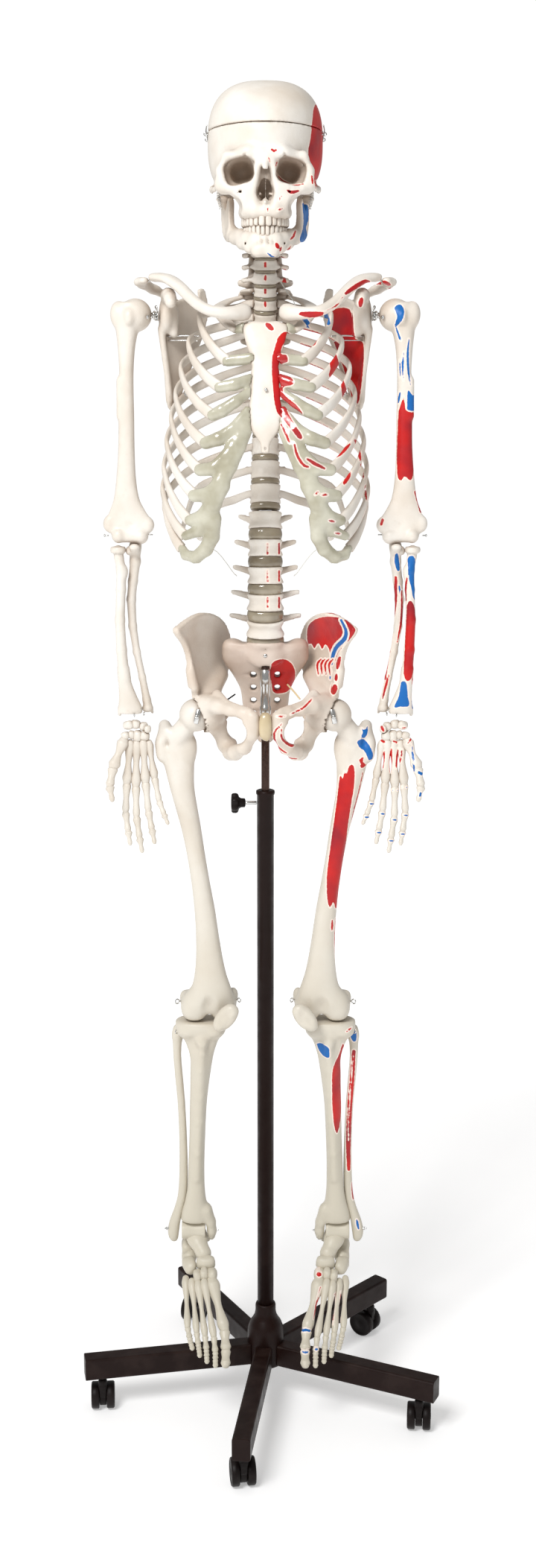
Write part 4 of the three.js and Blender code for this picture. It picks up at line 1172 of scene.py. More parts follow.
def build_rib_cage():
    bones = [rib(number) for number in range(12)]
    main = joined(bones[:10])
    lines = np.concatenate([rib_edge_red(shell.points, n) if 1 < n < 9 else np.full(len(shell.points),
                                                                                    UNPAINTED)
                            for n, shell in enumerate(bones[:10])])
    side_pair("ribs_bone", main, None, "ribs", red=lambda p: nearest(lines, ribs_red(p)), blue=ribs_blue)
    for number, name in ((10, "rib_11"), (11, "rib_12")):
        side_pair(f"{name}_bone", bones[number], None, name)
    front = cartilage_shell()
    piece("cartilage_left", front, "torso", cartilage_painted, "cartilage", red=breast_red(front.points))
    piece("cartilage_right", front.mirrored(), "torso", cartilage, "cartilage")
    breast = sternum_shell()
    p = breast.points
    spot = stroke(p, [(2, 1508), (9, 1502)], 7, 0.4)
    piece("sternum_bone", breast, "torso", bone, "bone_plastic", "sternum",
          red=np.maximum(nearest(breast_red(p), spot), p[:, 1] + 50))
    studs = [screw_head(2.1, 1.2).moved(at(1, -99.5, 1428, (78, 0, 0))),
             screw_head(1.2, 0.8, False).moved(at(0, -106.5, 1377, (80, 0, 0)))]
    piece("sternum_screws", joined(studs), "torso", chrome, "chrome_steel")


# ---- shoulder girdle -----------------------------------------------------------------------------
BLADE_U = (0.649, -0.761, 0)
BLADE_AT = (76, 82, 0)


def clavicle_shell():
    return tube([
        (27, -61, 1523, 10.5, 10), (31, -64, 1522.5, 10.5, 10), (40, -71, 1521.5, 8.6, 8.5),
        (52, -76, 1521.5, 7.4, 7.4), (68, -76, 1524, 6.8, 7), (82, -67, 1531, 6.8, 7),
        (94, -56, 1541, 6.8, 7.2),
        (107, -40, 1554, 6.4, 8.5), (121, -22, 1564.5, 6, 10.5), (133, -10, 1568, 5.8, 11.5),
        (141, -3, 1568.5, 5.4, 10.5),
    ], 18, (0, 0, 1), 6, power=2.3)


def scapula_shell():
    clay = Clay((68, -50, 1392), (176, 96, 1584), 2.3)
    outline = [(0, 1530), (3, 1548), (10, 1560), (26, 1553), (44, 1547), (62, 1540), (80, 1534), (88, 1526),
               (89, 1512), (83, 1498), (81, 1470), (80, 1440), (79, 1415), (74, 1403), (66, 1403), (58, 1415),
               (40, 1450), (22, 1480), (6, 1508)]

    def hollow_back(s, t):
        return 3.5 * np.exp(-((s - 45) / 26) ** 2 - ((t - 1480) / 50) ** 2) - 1.5
    clay.add(plate(rounded(outline, 3), BLADE_AT, BLADE_U, (0, 0, 1), 3.4, 1.5, hollow_back, 1.6), 0.1)
    clay.add(rod((134.5, 10, 1505), (124, 24, 1415), 4.6, 3.6), 5)         # thick outer border
    clay.add(chain([(82, 82, 1520, 3), (104, 72, 1533, 4), (128, 54, 1548, 6), (145, 38, 1556, 8),
                    (157, 22, 1562, 8.6), (160, 8, 1563.5, 8), (155, -4, 1564.5, 6.6)], (1, 1, 1.45), 4), 4)
    clay.add(ball((128, 10, 1521), (10, 13, 20)), 5)
    clay.add(rod((120, 16, 1528), (118, 14, 1500), 8, 6), 7)
    clay.add(chain([(125, 8, 1537, 9.5), (124, -6, 1546, 9), (122.5, -20, 1546, 8), (120.5, -30, 1541, 7.6),
                    (119.5, -36, 1536, 7)], blend=4), 5)
    clay.cut(ball((151, 4, 1521), (15.5, 15, 18.5)), 1.2)
    clay.cut(ball((102, 66, 1552), (14, 8, 9)), 4)
    return clay.shell()


def scapula_red(p):
    fossa = patch(p, [(84, 1530), (101, 1534), (112, 1528), (115, 1500), (120, 1492), (127, 1488),
                      (128, 1470),
                      (126, 1440), (122, 1412), (116, 1412), (108, 1440), (98, 1470), (88, 1496), (82, 1515)])
    fossa = np.maximum(fossa, 4 - p[:, 1])
    dot = np.maximum(patch(p, [(117, 1536), (121, 1543), (124, 1539), (122, 1531), (118, 1530)]),
                     p[:, 1] + 10)
    rim = np.maximum(stroke(p, [(145, 1563), (156, 1561), (165, 1552)], 4.5, 0.3), 6 - np.abs(p[:, 1] - 8))
    return nearest(fossa, dot, rim)


def clavicle_red(p):
    return nearest(stroke(p, [(44, 1520), (58, 1519), (70, 1520)], 7.5, 0.35),
                   stroke(p, [(74, 1522), (88, 1530), (97, 1541)], 2.2, 0.3),
                   stroke(p, [(100, 1545), (108, 1551), (124, 1561), (132, 1562)], 6, 0.5))


def build_girdle():
    side_pair("clavicle_bone", clavicle_shell(), None, "clavicle", red=clavicle_red)
    side_pair("scapula_bone", scapula_shell(), None, "scapula", red=scapula_red)
    fittings = [
        wire([(141, -4, 1568), (146, -5, 1566), (150, -3, 1563)], 1.3),
        tube([(127, 18, 1496, 1.1, 1.1), (104, 14, 1497, 1.1, 1.1), (86, 8, 1496, 1.1, 1.1)], 8, per=2),
        tube([(127, 20, 1491, 0.7, 0.7), (104, 16, 1491, 0.7, 0.7), (88, 12, 1490, 0.7, 0.7)], 8, per=2),
        screw_head(4.2, 2.2).moved(at(103, 22, 1424, (70, 0, -20))),
    ]
    piece("girdle_fittings", both(joined(fittings)), "torso", chrome, "chrome_steel")
    y, z = SHOULDER[1:]
    hook = joined([
        turned([(6.2, 0), (6.4, 1), (5.4, 2), (0.01, 2.1)], 18).moved(at(137.5, y, z, (0, 90, 0))),
        turned([(2.6, 0), (2.6, 4.2), (0.01, 4.4)], 10).moved(at(139, y, z, (0, 90, 0))),
        wire([(140, y - 3, z + 4), (142.5, y - 7, z + 5), (143, y - 9, z + 1), (142, y - 7, z - 4),
              (140, y - 3, z - 5)], 1.2, 8, 5),
        wire([(139, y - 2, z + 7), (141, y - 5, z + 11), (139, y - 9, z + 12), (138.2, y - 8, z + 8)], 0.8, 8,
             4),
    ])
    side_pair("shoulder_hook_set", hook, "shoulder", "shoulder_hook", chrome, "chrome_steel")


# ---- arms ----------------------------------------------------------------------------------------
def humerus_shell():
    x, y, z = SHOULDER
    clay = Clay((142, -32, ELBOW[2] - 16), (216, 34, z + 32), 2.1)
    clay.add(stack([
        [1243, 180, -1, 24, 8], [1252, 180, 0, 29, 6.5], [1262, 180, 0, 29, 6.4], [1274, 181, 0, 23, 7],
        [1290, 182, 0, 16.5, 8.2], [1318, 182, 0, 12.6, 9.6], [1356, 181, 0, 10.6, 10.2],
        [1394, 180.5, 0, 10.2, 10.4], [1422, 180, 0, 9.4, 10.2], [1451, 179.5, 0, 9.2, 10.4],
        [1480, 179, 0, 11, 11.5], [1500, 178, 0, 14, 14], [1520, 176, 0, 18, 17], [1538, 174, 0, 13, 13],
    ], 2.2), 0.1)
    clay.add(ball((x + 1, y, z + 1), (21, 20.5, 21)), 3)
    clay.add(ball((189.5, -2, 1523), (9.6, 12, 16)), 5)                    # greater tubercle
    clay.add(ball((174, -16, 1519), (7, 6.5, 10)), 4)                      # lesser tubercle
    clay.cut(rod((184, -22, 1536), (183, -17, 1486), 3.2, 2), 3)           # groove between them
    clay.add(rod((188, -4, 1440), (188, -4, 1396), 4, 4), 7)               # roughness of the deltoid
    hinge_y, hinge_z = ELBOW[1], ELBOW[2]
    clay.add(rod((164, hinge_y, hinge_z), (181, hinge_y, hinge_z), 10.2, 7.6), 1.5)
    clay.add(rod((181, hinge_y, hinge_z), (186, hinge_y, hinge_z), 7.4, 8), 1.5)
    clay.add(ball((193, hinge_y - 1.5, hinge_z + 1), (9, 9.8, 9.8)), 2)
    clay.add(ball((154, 1, 1254), (7, 6.5, 9)), 4)                         # inner knob
    clay.add(ball((206, 1, 1256), (6, 6, 9)), 4)
    clay.cut(ball((176, -12, 1257), (10, 7, 7)), 2.5)
    clay.cut(ball((175, 12, 1258), (12, 8, 10)), 2.5)
    return clay.shell()


def humerus_red(p):
    upper = patch(p, [(172, 1397), (173, 1404), (176, 1414), (178, 1422), (180, 1413), (182, 1403),
                      (189, 1400),
                      (193, 1397), (195, 1360), (194, 1330), (192, 1316), (188, 1313), (182, 1318),
                      (177, 1313),
                      (172, 1320), (171, 1360)])
    lateral = stroke(p, [(196, 1298), (201, 1284), (204, 1272)], 4.5, 0.2)
    knob = stroke(p, [(154, 1262), (152, 1256)], 4)
    return nearest(upper, lateral, knob)


def humerus_blue(p):
    return nearest(
        patch(p, [(164, 1530), (172, 1535), (177, 1528), (175, 1516), (168, 1508), (166, 1512), (168, 1520)]),
        stroke(p, [(166, 1510), (172, 1494), (174, 1490)], 3, 0.5),
        patch(p, [(186, 1542), (194, 1546), (199, 1542), (196, 1537), (190, 1539)]),
        patch(p, [(183, 1415), (184, 1428), (190, 1422), (194, 1420), (193, 1402), (187, 1398), (183, 1402)]),
        stroke(p, [(184, 1492), (183, 1474), (184, 1454), (187, 1434)], 3.4, 0.5),
        stroke(p, [(178, 1476), (177, 1460), (178, 1440)], 2.8, 0.5),
        stroke(p, [(173, 1466), (174, 1444)], 2.2, 0.5), stroke(p, [(174, 1425), (172, 1412)], 3, 0.4),
        stroke(p, [(202, 1536), (203, 1531)], 2.5))


def ulna_shell():
    clay = Clay((146, -26, 1000), (190, 30, 1262), 1.8)
    clay.add(chain([(173, 10, 1224, 7.4), (172.5, 10, 1206, 7), (176, 9, 1180, 6.2), (178.5, 8, 1156, 6),
                    (177, 7.5, 1120, 5.4), (172, 6, 1086, 4.8), (165, 4.5, 1052, 4.6), (159.5, 3, 1022, 5.4),
                    (158, 3, 1013, 6.2)]), 0.1)
    clay.add(ball((171, 17, 1243), (8, 7, 10.5)), 4)
    clay.add(rod((171, 15, 1236), (172, 10, 1224), 8, 7.5), 4)
    clay.add(ball((172, -9.5, 1226.5), (7, 5, 4.5)), 4)                   # beak in front of the hinge
    clay.add(rod((172, -6, 1224), (173, 8, 1218), 5.5, 7), 3)
    clay.add(ball((180, 2, 1221), (4.5, 6, 6)), 3)
    clay.add(ball((158.5, 3, 1010), (7.6, 7, 5)), 3)
    clay.add(rod((153, 6, 1008), (152, 7, 1003.5), 2.6, 1.8), 2)
    clay.cut(rod((140, ELBOW[1], ELBOW[2]), (220, ELBOW[1], ELBOW[2]), 11.2), 0.8)
    return clay.shell()


def radius_shell():
    clay = Clay((160, -26, 996), (210, 18, 1234), 1.8)
    clay.add(stack([[1218.5, 194, -2, 9.6, 9.6], [1222, 194, -2, 10.4, 10.4], [1226.4, 194, -2, 10, 10]], 2,
                   1.2), 0.1)
    clay.add(chain([(194, -2, 1222, 6.6), (193, -2, 1212, 5.8), (190, -3, 1196, 6.6), (191, -3.5, 1170, 6.2),
                    (193, -4, 1130, 6.4), (191.5, -4.5, 1090, 6.8), (188.5, -5, 1052, 7.6)]), 2.5)
    clay.add(ball((186.5, -3, 1193), (5, 5, 9)), 3)
    clay.add(stack([[1004.5, 181, -4.5, 15.5, 8.4], [1012, 181, -4.5, 16, 8.6], [1026, 183.5, -5, 12.5, 7.6],
                    [1046, 187.5, -5, 8.8, 6.8], [1066, 189.5, -5, 7, 6]], 2.2), 4)
    clay.add(rod((194, -4.5, 1012), (195.5, -4.5, 1003), 3.6, 2.4), 2)
    clay.cut(ball((181, -4.5, 999.5), (12, 6.5, 6)), 1.5)
    return clay.shell()


def ulna_red(p):
    return nearest(stroke(p, [(173, 1186), (172, 1150), (168, 1120)], 5.2, 0.3),
                   stroke(p, [(181, 1168), (181, 1130), (176, 1100)], 3.6, 0.4),
                   stroke(p, [(169, 1110), (163, 1075), (160, 1050)], 4.6, 0.4),
                   stroke(p, [(165, 1056), (157, 1024)], 3.6, 0.4))


def radius_red(p):
    return nearest(patch(p, [(187, 1150), (193, 1156), (199, 1140), (200, 1100), (198, 1066), (194, 1052),
                             (188, 1050),
                             (184, 1060), (185, 1090), (186, 1120)]),
                   stroke(p, [(187, 1188), (185, 1170), (186, 1156)], 3.2, 0.3),
                   stroke(p, [(196, 1054), (197, 1040)], 2.4, 0.4))


def radius_blue(p):
    return nearest(patch(p, [(181, 1048), (188, 1047), (190, 1030), (192, 1016), (180, 1015), (172, 1014),
                             (178, 1030)]),
                   patch(p, [(187, 1212), (197, 1212), (200, 1180), (199, 1158), (195, 1160), (192, 1174),
                             (188, 1190)]),
                   stroke(p, [(197, 1032), (197, 1012)], 3, 0.3))


def ulna_blue(p):
    return nearest(stroke(p, [(173, 1216), (174, 1206), (176, 1196)], 6.5, 0.3),
                   stroke(p, [(177, 1174), (181, 1160)], 3))


# The wrist bones, from the thumb's side, in two rows: place and half-sizes.
WRIST_BONES = [
    ((184, -6, 989), (7.5, 6, 6), 20), ((174, -5, 990), (6.5, 6.5, 6), 0), ((164, -4, 987), (6, 6, 6), -15),
    ((158, -9, 984), (4.6, 4.6, 5), 0), ((188, -9, 975), (6.2, 6, 5.4), 20),
    ((180, -7, 976), (5, 5.5, 5.6), 0),
    ((171.5, -6, 974), (6.4, 6.5, 8), 0), ((162, -6, 974), (6.6, 6.5, 6.4), -15),
]
# Each ray: its joints from the wrist to the tip.
HAND_RAYS = [
    [(190, -10, 969), (204, -22, 934), (208, -34, 911), (204, -42, 893)],
    [(182, -7, 966), (187, -7, 910), (189, -15, 871), (185, -24, 847), (182, -31, 830)],
    [(173, -6, 966), (175, -7, 906), (174, -17, 865), (169.5, -26, 838), (166, -32, 820)],
    [(164.5, -6, 967), (162, -6, 911), (158, -15, 873), (153, -24, 849), (149, -31, 832)],
    [(157, -5, 966), (150, -4, 917), (143.5, -12, 886), (136.5, -20, 869), (131, -25, 857)],
]


def hand_shell():
    parts = [lump(place, size, (0, turn, 0), 0.1, 2.5) for place, size, turn in WRIST_BONES]
    for number, joints in enumerate(HAND_RAYS):
        big = 1.18 if number == 0 else (0.86 if number == 4 else 1.0)
        last = len(joints) - 2
        for i, (start, end) in enumerate(segments(joints, 0.8)):
            if i == 0:
                sizes = (6.8, 4.0, 6.9)
            elif i == last:
                sizes = (5.3, 2.8, 3.2)
            else:
                sizes = (6.3 - 0.4 * i, 4.4 - 0.4 * i, 5.4 - 0.4 * i)
            parts.append(shaft_bone(start, end, *[size * big for size in sizes]))
    return joined(parts)


def hand_red(p):
    return nearest(stroke(p, [(178, 958), (176, 930)], 3.6, 0.5),
                   stroke(p, [(169, 958), (168.5, 925)], 4.6, 0.5),
                   stroke(p, [(160, 955), (158, 930)], 3.6, 0.5), stroke(p, [(184, 958), (181, 938)], 3, 0.5),
                   stroke(p, [(194, 980), (197, 974), (190, 966)], 2.6, 0.3),
                   stroke(p, [(156, 987), (158, 983)], 4),
                   stroke(p, [(172, 968), (176, 966)], 3), stroke(p, [(156, 968), (160, 966)], 3.4),
                   stroke(p, [(182, 986), (188, 987)], 2.4))


def hand_blue(p):
    marks = [stroke(p, [(196, 962), (198, 944), (199, 930)], 3.6, 0.4),
             stroke(p, [(192, 970), (194, 968)], 4),
             stroke(p, [(205, 929), (209, 927)], 4.4), stroke(p, [(207, 903), (206, 900)], 3.6)]
    for ray, knuckles in enumerate(HAND_RAYS[1:]):
        for i in (1, 2, 3):
            x, _, z = knuckles[i]
            if i > 1:
                marks.append(stroke(p, [(x - 2, z - 2.5), (x + 2, z - 3)], 2.6))
            elif ray < 2:
                marks += [stroke(p, [(x + left, z - 5), (x + left + 1, z - 5)], 2.4) for left in (-4, 3)]
    return nearest(*marks)


def build_arms():
    side_pair("humerus_bone", humerus_shell(), "upper_arm", "humerus", red=humerus_red, blue=humerus_blue)
    side_pair("ulna_bone", ulna_shell(), "forearm", "ulna", red=ulna_red, blue=ulna_blue)
    side_pair("radius_bone", radius_shell(), "forearm", "radius", red=radius_red, blue=radius_blue)
    side_pair("hand_bones", hand_shell(), "hand", "hand", red=hand_red, blue=hand_blue)
    y, z = SHOULDER[1:]
    strap = [
        wire([(145, y, z + 3), (142.5, y - 5, z + 2), (145.5, y - 9, z - 2)], 1.6, 8, 5),
        screw_head(2.6, 1.6).moved(at(150, y - 16, z - 2, (90, 0, -40))),
    ]
    side_pair("humerus_fittings", joined(strap), "upper_arm", None, chrome, "chrome_steel")
    elbow = ELBOW[2]
    pins = [
        wire([(207, 0, elbow + 1), (212, 0, elbow + 1)], 1.0),
        wire([(149, 0, elbow + 2), (153, 0, elbow + 2)], 1.0),
        turned([(2, 0), (2, 1.2), (0.01, 1.3)], 10).moved(at(211, 0, elbow + 1, (0, 90, 0))),
    ]
    side_pair("elbow_pins", joined(pins), "upper_arm", None, chrome, "chrome_steel")
    loops = [
        eye_screw((162, -4, 1006), (0.2, -1, -0.4), 2.2, 5, 0.6),
        eye_screw((176, -12, 1006), (-0.3, -1, -0.5), 2.2, 5, 0.6),
        wire([(163, -6, 1010), (168, -9, 1012), (174, -9, 1011)], 0.5),
    ]
    side_pair("wrist_loops", joined(loops), "forearm", None, chrome, "chrome_steel")


# ---- pelvis --------------------------------------------------------------------------------------
SACRUM = [
    [958, 0, 31, 9, 4], [968, 0, 37, 14, 5], [985, 0, 44, 24, 7], [1003, 0, 46, 30.5, 9],
    [1030, 0, 38, 34, 12],
    [1052, 0, 29, 44, 15], [1074, 0, 18, 57, 17], [1090, 0, 10, 57, 17], [1099, 0, 6, 48, 15],
]
CREST_U = (-0.497, 0.867, 0)
CREST_AT = (81, 1, 0)


def sacrum_shell():
    clay = Clay((-58, -22, 952), (58, 68, 1114), 2.3, even=True)
    clay.add(stack(SACRUM, 2.3, 3), 0.1)
    clay.add(stack([[1084, 0, 7, 25, 17], [1095, 0, 2, 25.5, 17.5], [1101, 0, 0, 25, 17]], 2.3, 1.2), 4)
    clay.add(ball((44, 10, 1096), (12, 11, 8)), 6)
    clay.cut(ball((27, 5, 1107), (6, 24, 8)), 3)
    clay.cut(ball((0, -6, 1040), (15, 13, 56)), 8)
    for i in range(4):
        z = 1054 - 19 * i
        y = read_off(z, SACRUM, 2)
        clay.add(rod((0, y - 9, z + 9.5), (15, y - 8, z + 9.5), 3.0), 2.5)   # ridge between segments
        clay.cut(rod((16, y - 30, z), (16, y + 30, z), 4.6, 3.8), 1.2)
        clay.cut(rod((19, y - 15, z), (29, y - 15, z - 2), 3.4, 2.4), 3)
    clay.cut(ball((30, -14, 1092), (10, 8, 8)), 4)                         # hollow beside the promontory
    clay.add(ball((0, 0, 1082), (24, 10.5, 17)), 6)
    for i in range(5):
        z = 1080 - 20 * i
        y = float(np.interp(z, [row[0] for row in SACRUM], [row[2] + row[4] for row in SACRUM]))
        clay.add(ball((0, y, z), (4, 6, 7)), 4)
    clay.cut(rod((0, 0, 940), (0, 0, 1087), 5.9), 0.5)
    return clay.shell()


def hip_bone_shell():
    clay = Clay((2, -92, 930), (124, 74, 1146), 2.1)
    outline = [(-69, 1126), (-66, 1116), (-52, 1103), (-41, 1086), (-37, 1068), (-36, 1050), (-28, 1028),
               (-8, 1020),
               (20, 1032),
               (36, 1044), (56, 1056), (66, 1078), (64, 1098), (52, 1116), (34, 1129), (8, 1138), (-20, 1140),
               (-48, 1134)]

    def bowl(s, t):
        return 7 * np.exp(-((s + 4) / 34) ** 2 - ((t - 1090) / 34) ** 2) - 2.5 + 0.0009 * s * s
    clay.add(plate(rounded(outline, 3), CREST_AT, CREST_U, (0, 0, 1), 4.6, 2.6, bowl, 2.2), 0.1)
    for shape, blend in (
        (ball((80, -10, 1008), (27, 28, 28)), 9),
        (rod((74, -6, 1030), (60, 30, 1052), 12, 9), 12),                  # thick line back to the sacrum
        (rod((99, -32, 1066), (94, -30, 1044), 4.5, 6), 8),                # lower front spine
        (chain([(76, -28, 1020, 14), (62, -46, 1021, 9.4), (46, -60, 1018, 7), (30, -71, 1016, 6.6),
                (16, -78, 1012, 7.4)], (1, 1.15, 1), 5), 6),                # upper bar of the pubis
        (chain([(64, -30, 1034, 7), (50, -50, 1027, 3), (30, -68, 1023, 2.6), (20, -76, 1021, 3)]), 4),
        (ball((18, -76, 1000), (12.5, 8, 20)), 4),
        (chain([(19, -73, 988, 9.5), (28, -60, 969, 9), (40, -36, 957, 9.5), (46, -14, 954, 11)],
               (1, 1.35, 1), 5), 5),
        (chain([(46, -10, 954, 11), (52, 2, 962, 12), (60, 2, 982, 12.5), (72, -2, 996, 15)], blend=6), 6),
        (rod((60, 20, 990), (52, 26, 996), 5, 2.6), 5),                    # spine of the ischium
    ):
        clay.add(shape, blend)
    clay.cut(ball(HIP, 25.4), 1.2)
    clay.cut(block((98.5, -60, 958), (150, 40, 1042)), 2)
    clay.cut(rod((36, -100, 991), (40, 8, 984), 16.5, 16, (1.3, 1, 1)), 2.5)  # hole in the ring
    sacrum_room = stack([[z, x, y, a + 1.4, b + 1.4] for z, x, y, a, b in SACRUM], 2.3, 3)
    clay.cut(sacrum_room, 0.6)
    clay.cut(beyond(0, 4.6, -1), 0.6)
    return clay.shell()


def hip_red(p):
    fossa = patch(p, [(58, 1092), (56, 1104), (58, 1118), (66, 1128), (80, 1135), (96, 1137), (108, 1133),
                      (117, 1124),
                      (111, 1111), (103, 1101), (97, 1091), (93, 1078), (88, 1076), (85, 1090), (80, 1096),
                      (76, 1089),
                      (71, 1096), (66, 1088), (62, 1094)])
    fossa = np.maximum(fossa, 1.6 - iliac_band(p))
    crest = stroke(p, [(58, 1133), (74, 1140), (90, 1141), (104, 1137)], 3, 0.4)
    blots = nearest(stroke(p, [(98, 1084), (95, 1070)], 5, 0.3),
                    stroke(p, [(94, 1062), (93, 1054)], 4.4, 0.3),
                    stroke(p, [(92, 1046), (90, 1037)], 8, 0.2))
    slants = nearest(*[stroke(p, [(75 + 5 * n, 1076 + n), (70 + 5 * n, 1068 + n), (71 + 5 * n, 1055 + n)], 3,
                              0.5)
                       for n in range(4)])
    upper = nearest(stroke(p, [(61, 1031), (49, 1022), (33, 1016)], 3, 0.4),
                    stroke(p, [(26, 1014), (15, 1014)], 2.6, 0.4))
    ring = nearest(stroke(p, [(21, 1004), (12, 992), (15, 973), (28, 962)], 3.4, 0.4),
                   stroke(p, [(21, 997), (22, 984), (34, 972), (48, 976)], 3.2, 0.4),
                   stroke(p, [(16, 967), (29, 953), (42, 950)], 3, 0.4))
    return nearest(fossa, crest, blots, slants, upper, ring)


def iliac_band(p):
    return stroke(p, [(99, 1134), (105, 1122), (104, 1111), (95, 1098), (90, 1085), (88, 1072)], 5, 0.3)


def hip_blue(p):
    return nearest(iliac_band(p), stroke(p, [(87, 1066), (86, 1052)], 2.6, 0.4))


def sacrum_red(p):
    return np.maximum(patch(p, [(8, 1072), (20, 1078), (33, 1073), (40, 1059), (39, 1042), (32, 1030),
                                (22, 1026),
                                (11, 1028), (8, 1042), (6, 1057)]), p[:, 1] - 44)


def build_pelvis():
    sacrum = sacrum_shell()
    # the sacrum takes the darker copy of the bone, part tan tone and part painted shade
    piece("sacrum_bone", sacrum, "torso", bone_tan_and_shade, "bone_plastic", "sacrum", red=sacrum_red(sacrum.points))
    side_pair("hip_bone_shell", hip_bone_shell(), None, "hip_bone", bone_warm, red=hip_red, blue=hip_blue)
    disc = lump((0, -79.5, 1000), (8.4, 8, 18.5), rough=0.03, power=3)
    piece("pubic_disc_shell", disc, "torso", symphysis, "cartilage", "pubic_disc")
    sleeve, screw, hip_screw = (
        turned([(7.2, 1003), (7.6, 1004.5), (7.6, 1013), (6.4, 1014.5), (6.4, 1040), (7.2, 1041.5),
                (7.2, 1063),
                (6.2, 1064)], 20),
        screw_head(3.0, 1.8).moved(at(0, -9.5, 1083, (90, 0, 0))),
        screw_head(2.4, 1.4).moved(at(66, -41, 1028, (80, 0, 20))),
    )
    piece("pelvis_fittings", joined([sleeve, screw, both(hip_screw)]), "torso", chrome, "chrome_steel")


# ---- legs ----------------------------------------------------------------------------------------
TROCHANTER = [
    ((134, 1, 976), (11, 13, 15)), ((140, 0, 962), (9, 14, 15)), ((136, 8, 986), (8, 9, 8)),
    ((138, -6, 950), (9, 10, 12)), ((131, -9, 980), (7, 7, 8)),
]


def femur_shell():
    x, y, z = HIP
    clay = Clay((34, -42, KNEE[2] - 24), (156, 30, z + 26), 2.6)
    clay.add(stack([
        [600, 78, -9, 34, 17], [612, 76.5, -11, 32, 17], [627, 75, -12, 26, 16], [645, 76, -12.5, 21.5, 15],
        [670, 77.5, -13, 18, 14], [702, 80, -13, 15.6, 13.4], [734, 83, -13, 14.2, 13.2],
        [770, 88, -12, 12.8, 13],
        [812, 94.5, -11, 12.4, 13], [849, 101, -9, 13.6, 13.8], [900, 112, -6, 16.4, 14.4],
        [931, 116, -4, 20, 15], [950, 118, -3, 23.5, 15], [964, 121, -2, 20, 13],
    ], 2.15, 6), 0.1)
    clay.add(rod((x + 4, y + 1, z - 2), (118, -6, 972), 12.5, 14.5), 4)
    clay.add(ball((108, -2, 958), (14.5, 11, 20), -20), 8)
    clay.add(ball((x, y, z), 22.2), 1.4)
    for centre, size in TROCHANTER:
        clay.add(ball(centre, size), 4)
    clay.add(ball((102, 9, 944), (8, 9, 12)), 4)                           # lesser trochanter
    clay.add(chain([(128, -14, 978, 3), (121, -16, 962, 2.4), (112, -15, 944, 2.6), (102, -13, 930, 2)]), 3.5)
    clay.cut(ball((120, 16, 984), (9, 9, 11)), 3)
    clay.cut(rod((124, -24, 966), (116, -24, 946), 5, 4), 6)
    clay.add(rod((98, 4, 850), (90, 3, 740), 4.4, 4), 5)                   # rough line down the back
    clay.add(ball((98.5, -3.5, KNEE[2] + 1), (19, 23.5, 21.5), 0, 2.4), 4)  # outer condyle
    clay.add(ball((59, -1, KNEE[2] - 0.5), (18.5, 21.5, 20.5), 0, 2.4), 4)
    clay.add(ball((80, -14, 606), (30, 16, 20)), 6)
    clay.cut(ball((77, -34, 598), (10, 10, 18)), 6)                        # groove for the kneecap
    clay.cut(rod((77, -8, 566), (77, 12, 586), 7, 8), 4)                   # notch below and behind
    clay.cut(rod((77, 26, 580), (77, 22, 604), 9, 8), 4)
    clay.add(ball((112, 2, 604), (7, 9, 10)), 4)
    clay.add(ball((45, 2, 607), (7, 9, 11)), 4)
    clay.cut(beyond(2, 573.8, -1), 0.5)
    return clay.shell()


def patella_shell():
    clay = Clay((30, -60, 562), (80, -28, 618), 1.5)
    clay.add(ball((54, -43, 590), (13, 8.4, 20), -38, 2.3), 0.1)
    clay.add(ball((46, -45, 600), (8, 7, 8)), 4)
    clay.add(ball((63, -44, 580), (7, 7, 9), -30), 4)
    clay.cut(ball((54, -33, 590), (12, 4, 15), -38), 3)
    for x, z in ((51, 597), (60, 589), (50, 586)):
        clay.cut(ball((x, -54, z), (4.4, 3.4, 6), -38), 4)
    return clay.shell()


def tibia_shell():
    clay = Clay((54, -30, 226), (128, 46, 578), 2.5)
    clay.add(stack([
        [258.6, 101, 26, 20, 14], [264, 101, 25.5, 21, 15], [276, 101, 24, 19, 14.4],
        [290, 100.5, 22.5, 15.5, 13],
        [314, 99.5, 20, 12.4, 12], [350, 98.6, 17, 11.4, 11.8], [390, 97, 14, 11.2, 12],
        [441, 95, 9, 11.8, 13],
        [480, 92.3, 5.5, 13.4, 14], [512, 90, 3, 16, 15.6], [535, 89.4, 1, 21, 18], [552, 89.5, 0, 28, 21],
        [564, 90, -1, 34.5, 23.5], [571, 90, -1, 35, 23.5], [573.4, 90, -1, 32, 21],
    ], 2.25, 1.5), 0.1)
    clay.add(chain([(87, -17, 546, 6), (88, -15, 530, 6), (91, -9, 500, 5), (92.5, -3, 460, 4.6),
                    (94, 1, 420, 4.4),
                    (96.5, 5, 370, 4.2), (98, 9, 330, 4)], blend=5), 6)     # crest down the front
    for side_x, size in ((73, 17), (108, 16)):
        clay.add(ball((side_x, -3, 559), (size, 20, 12)), 5)
    clay.add(ball((88, -20, 545), (7.5, 6, 10)), 5)                        # front tubercle
    clay.cut(ball((73, 18, 528), (9, 14, 26)), 7)
    clay.cut(ball((108, 14, 524), (8, 14, 26)), 7)
    clay.cut(ball((102, -22, 536), (7, 6, 14), 12), 6)
    clay.cut(ball((74, -20, 536), (6, 6, 12), -12), 6)
    clay.add(chain([(84, 20, 278, 9), (79, 23, 258, 8.4), (77.5, 24, 244, 8), (78, 24, 236, 6.4)],
                   (1.2, 1, 1)), 5)
    for x in (75, 106):
        clay.cut(ball((x, -1, 577), (12, 15, 4)), 1.5)
    clay.cut(rod((99.5, 26, 244), (124, 26, 244), 13.8), 0.8)
    return clay.shell()


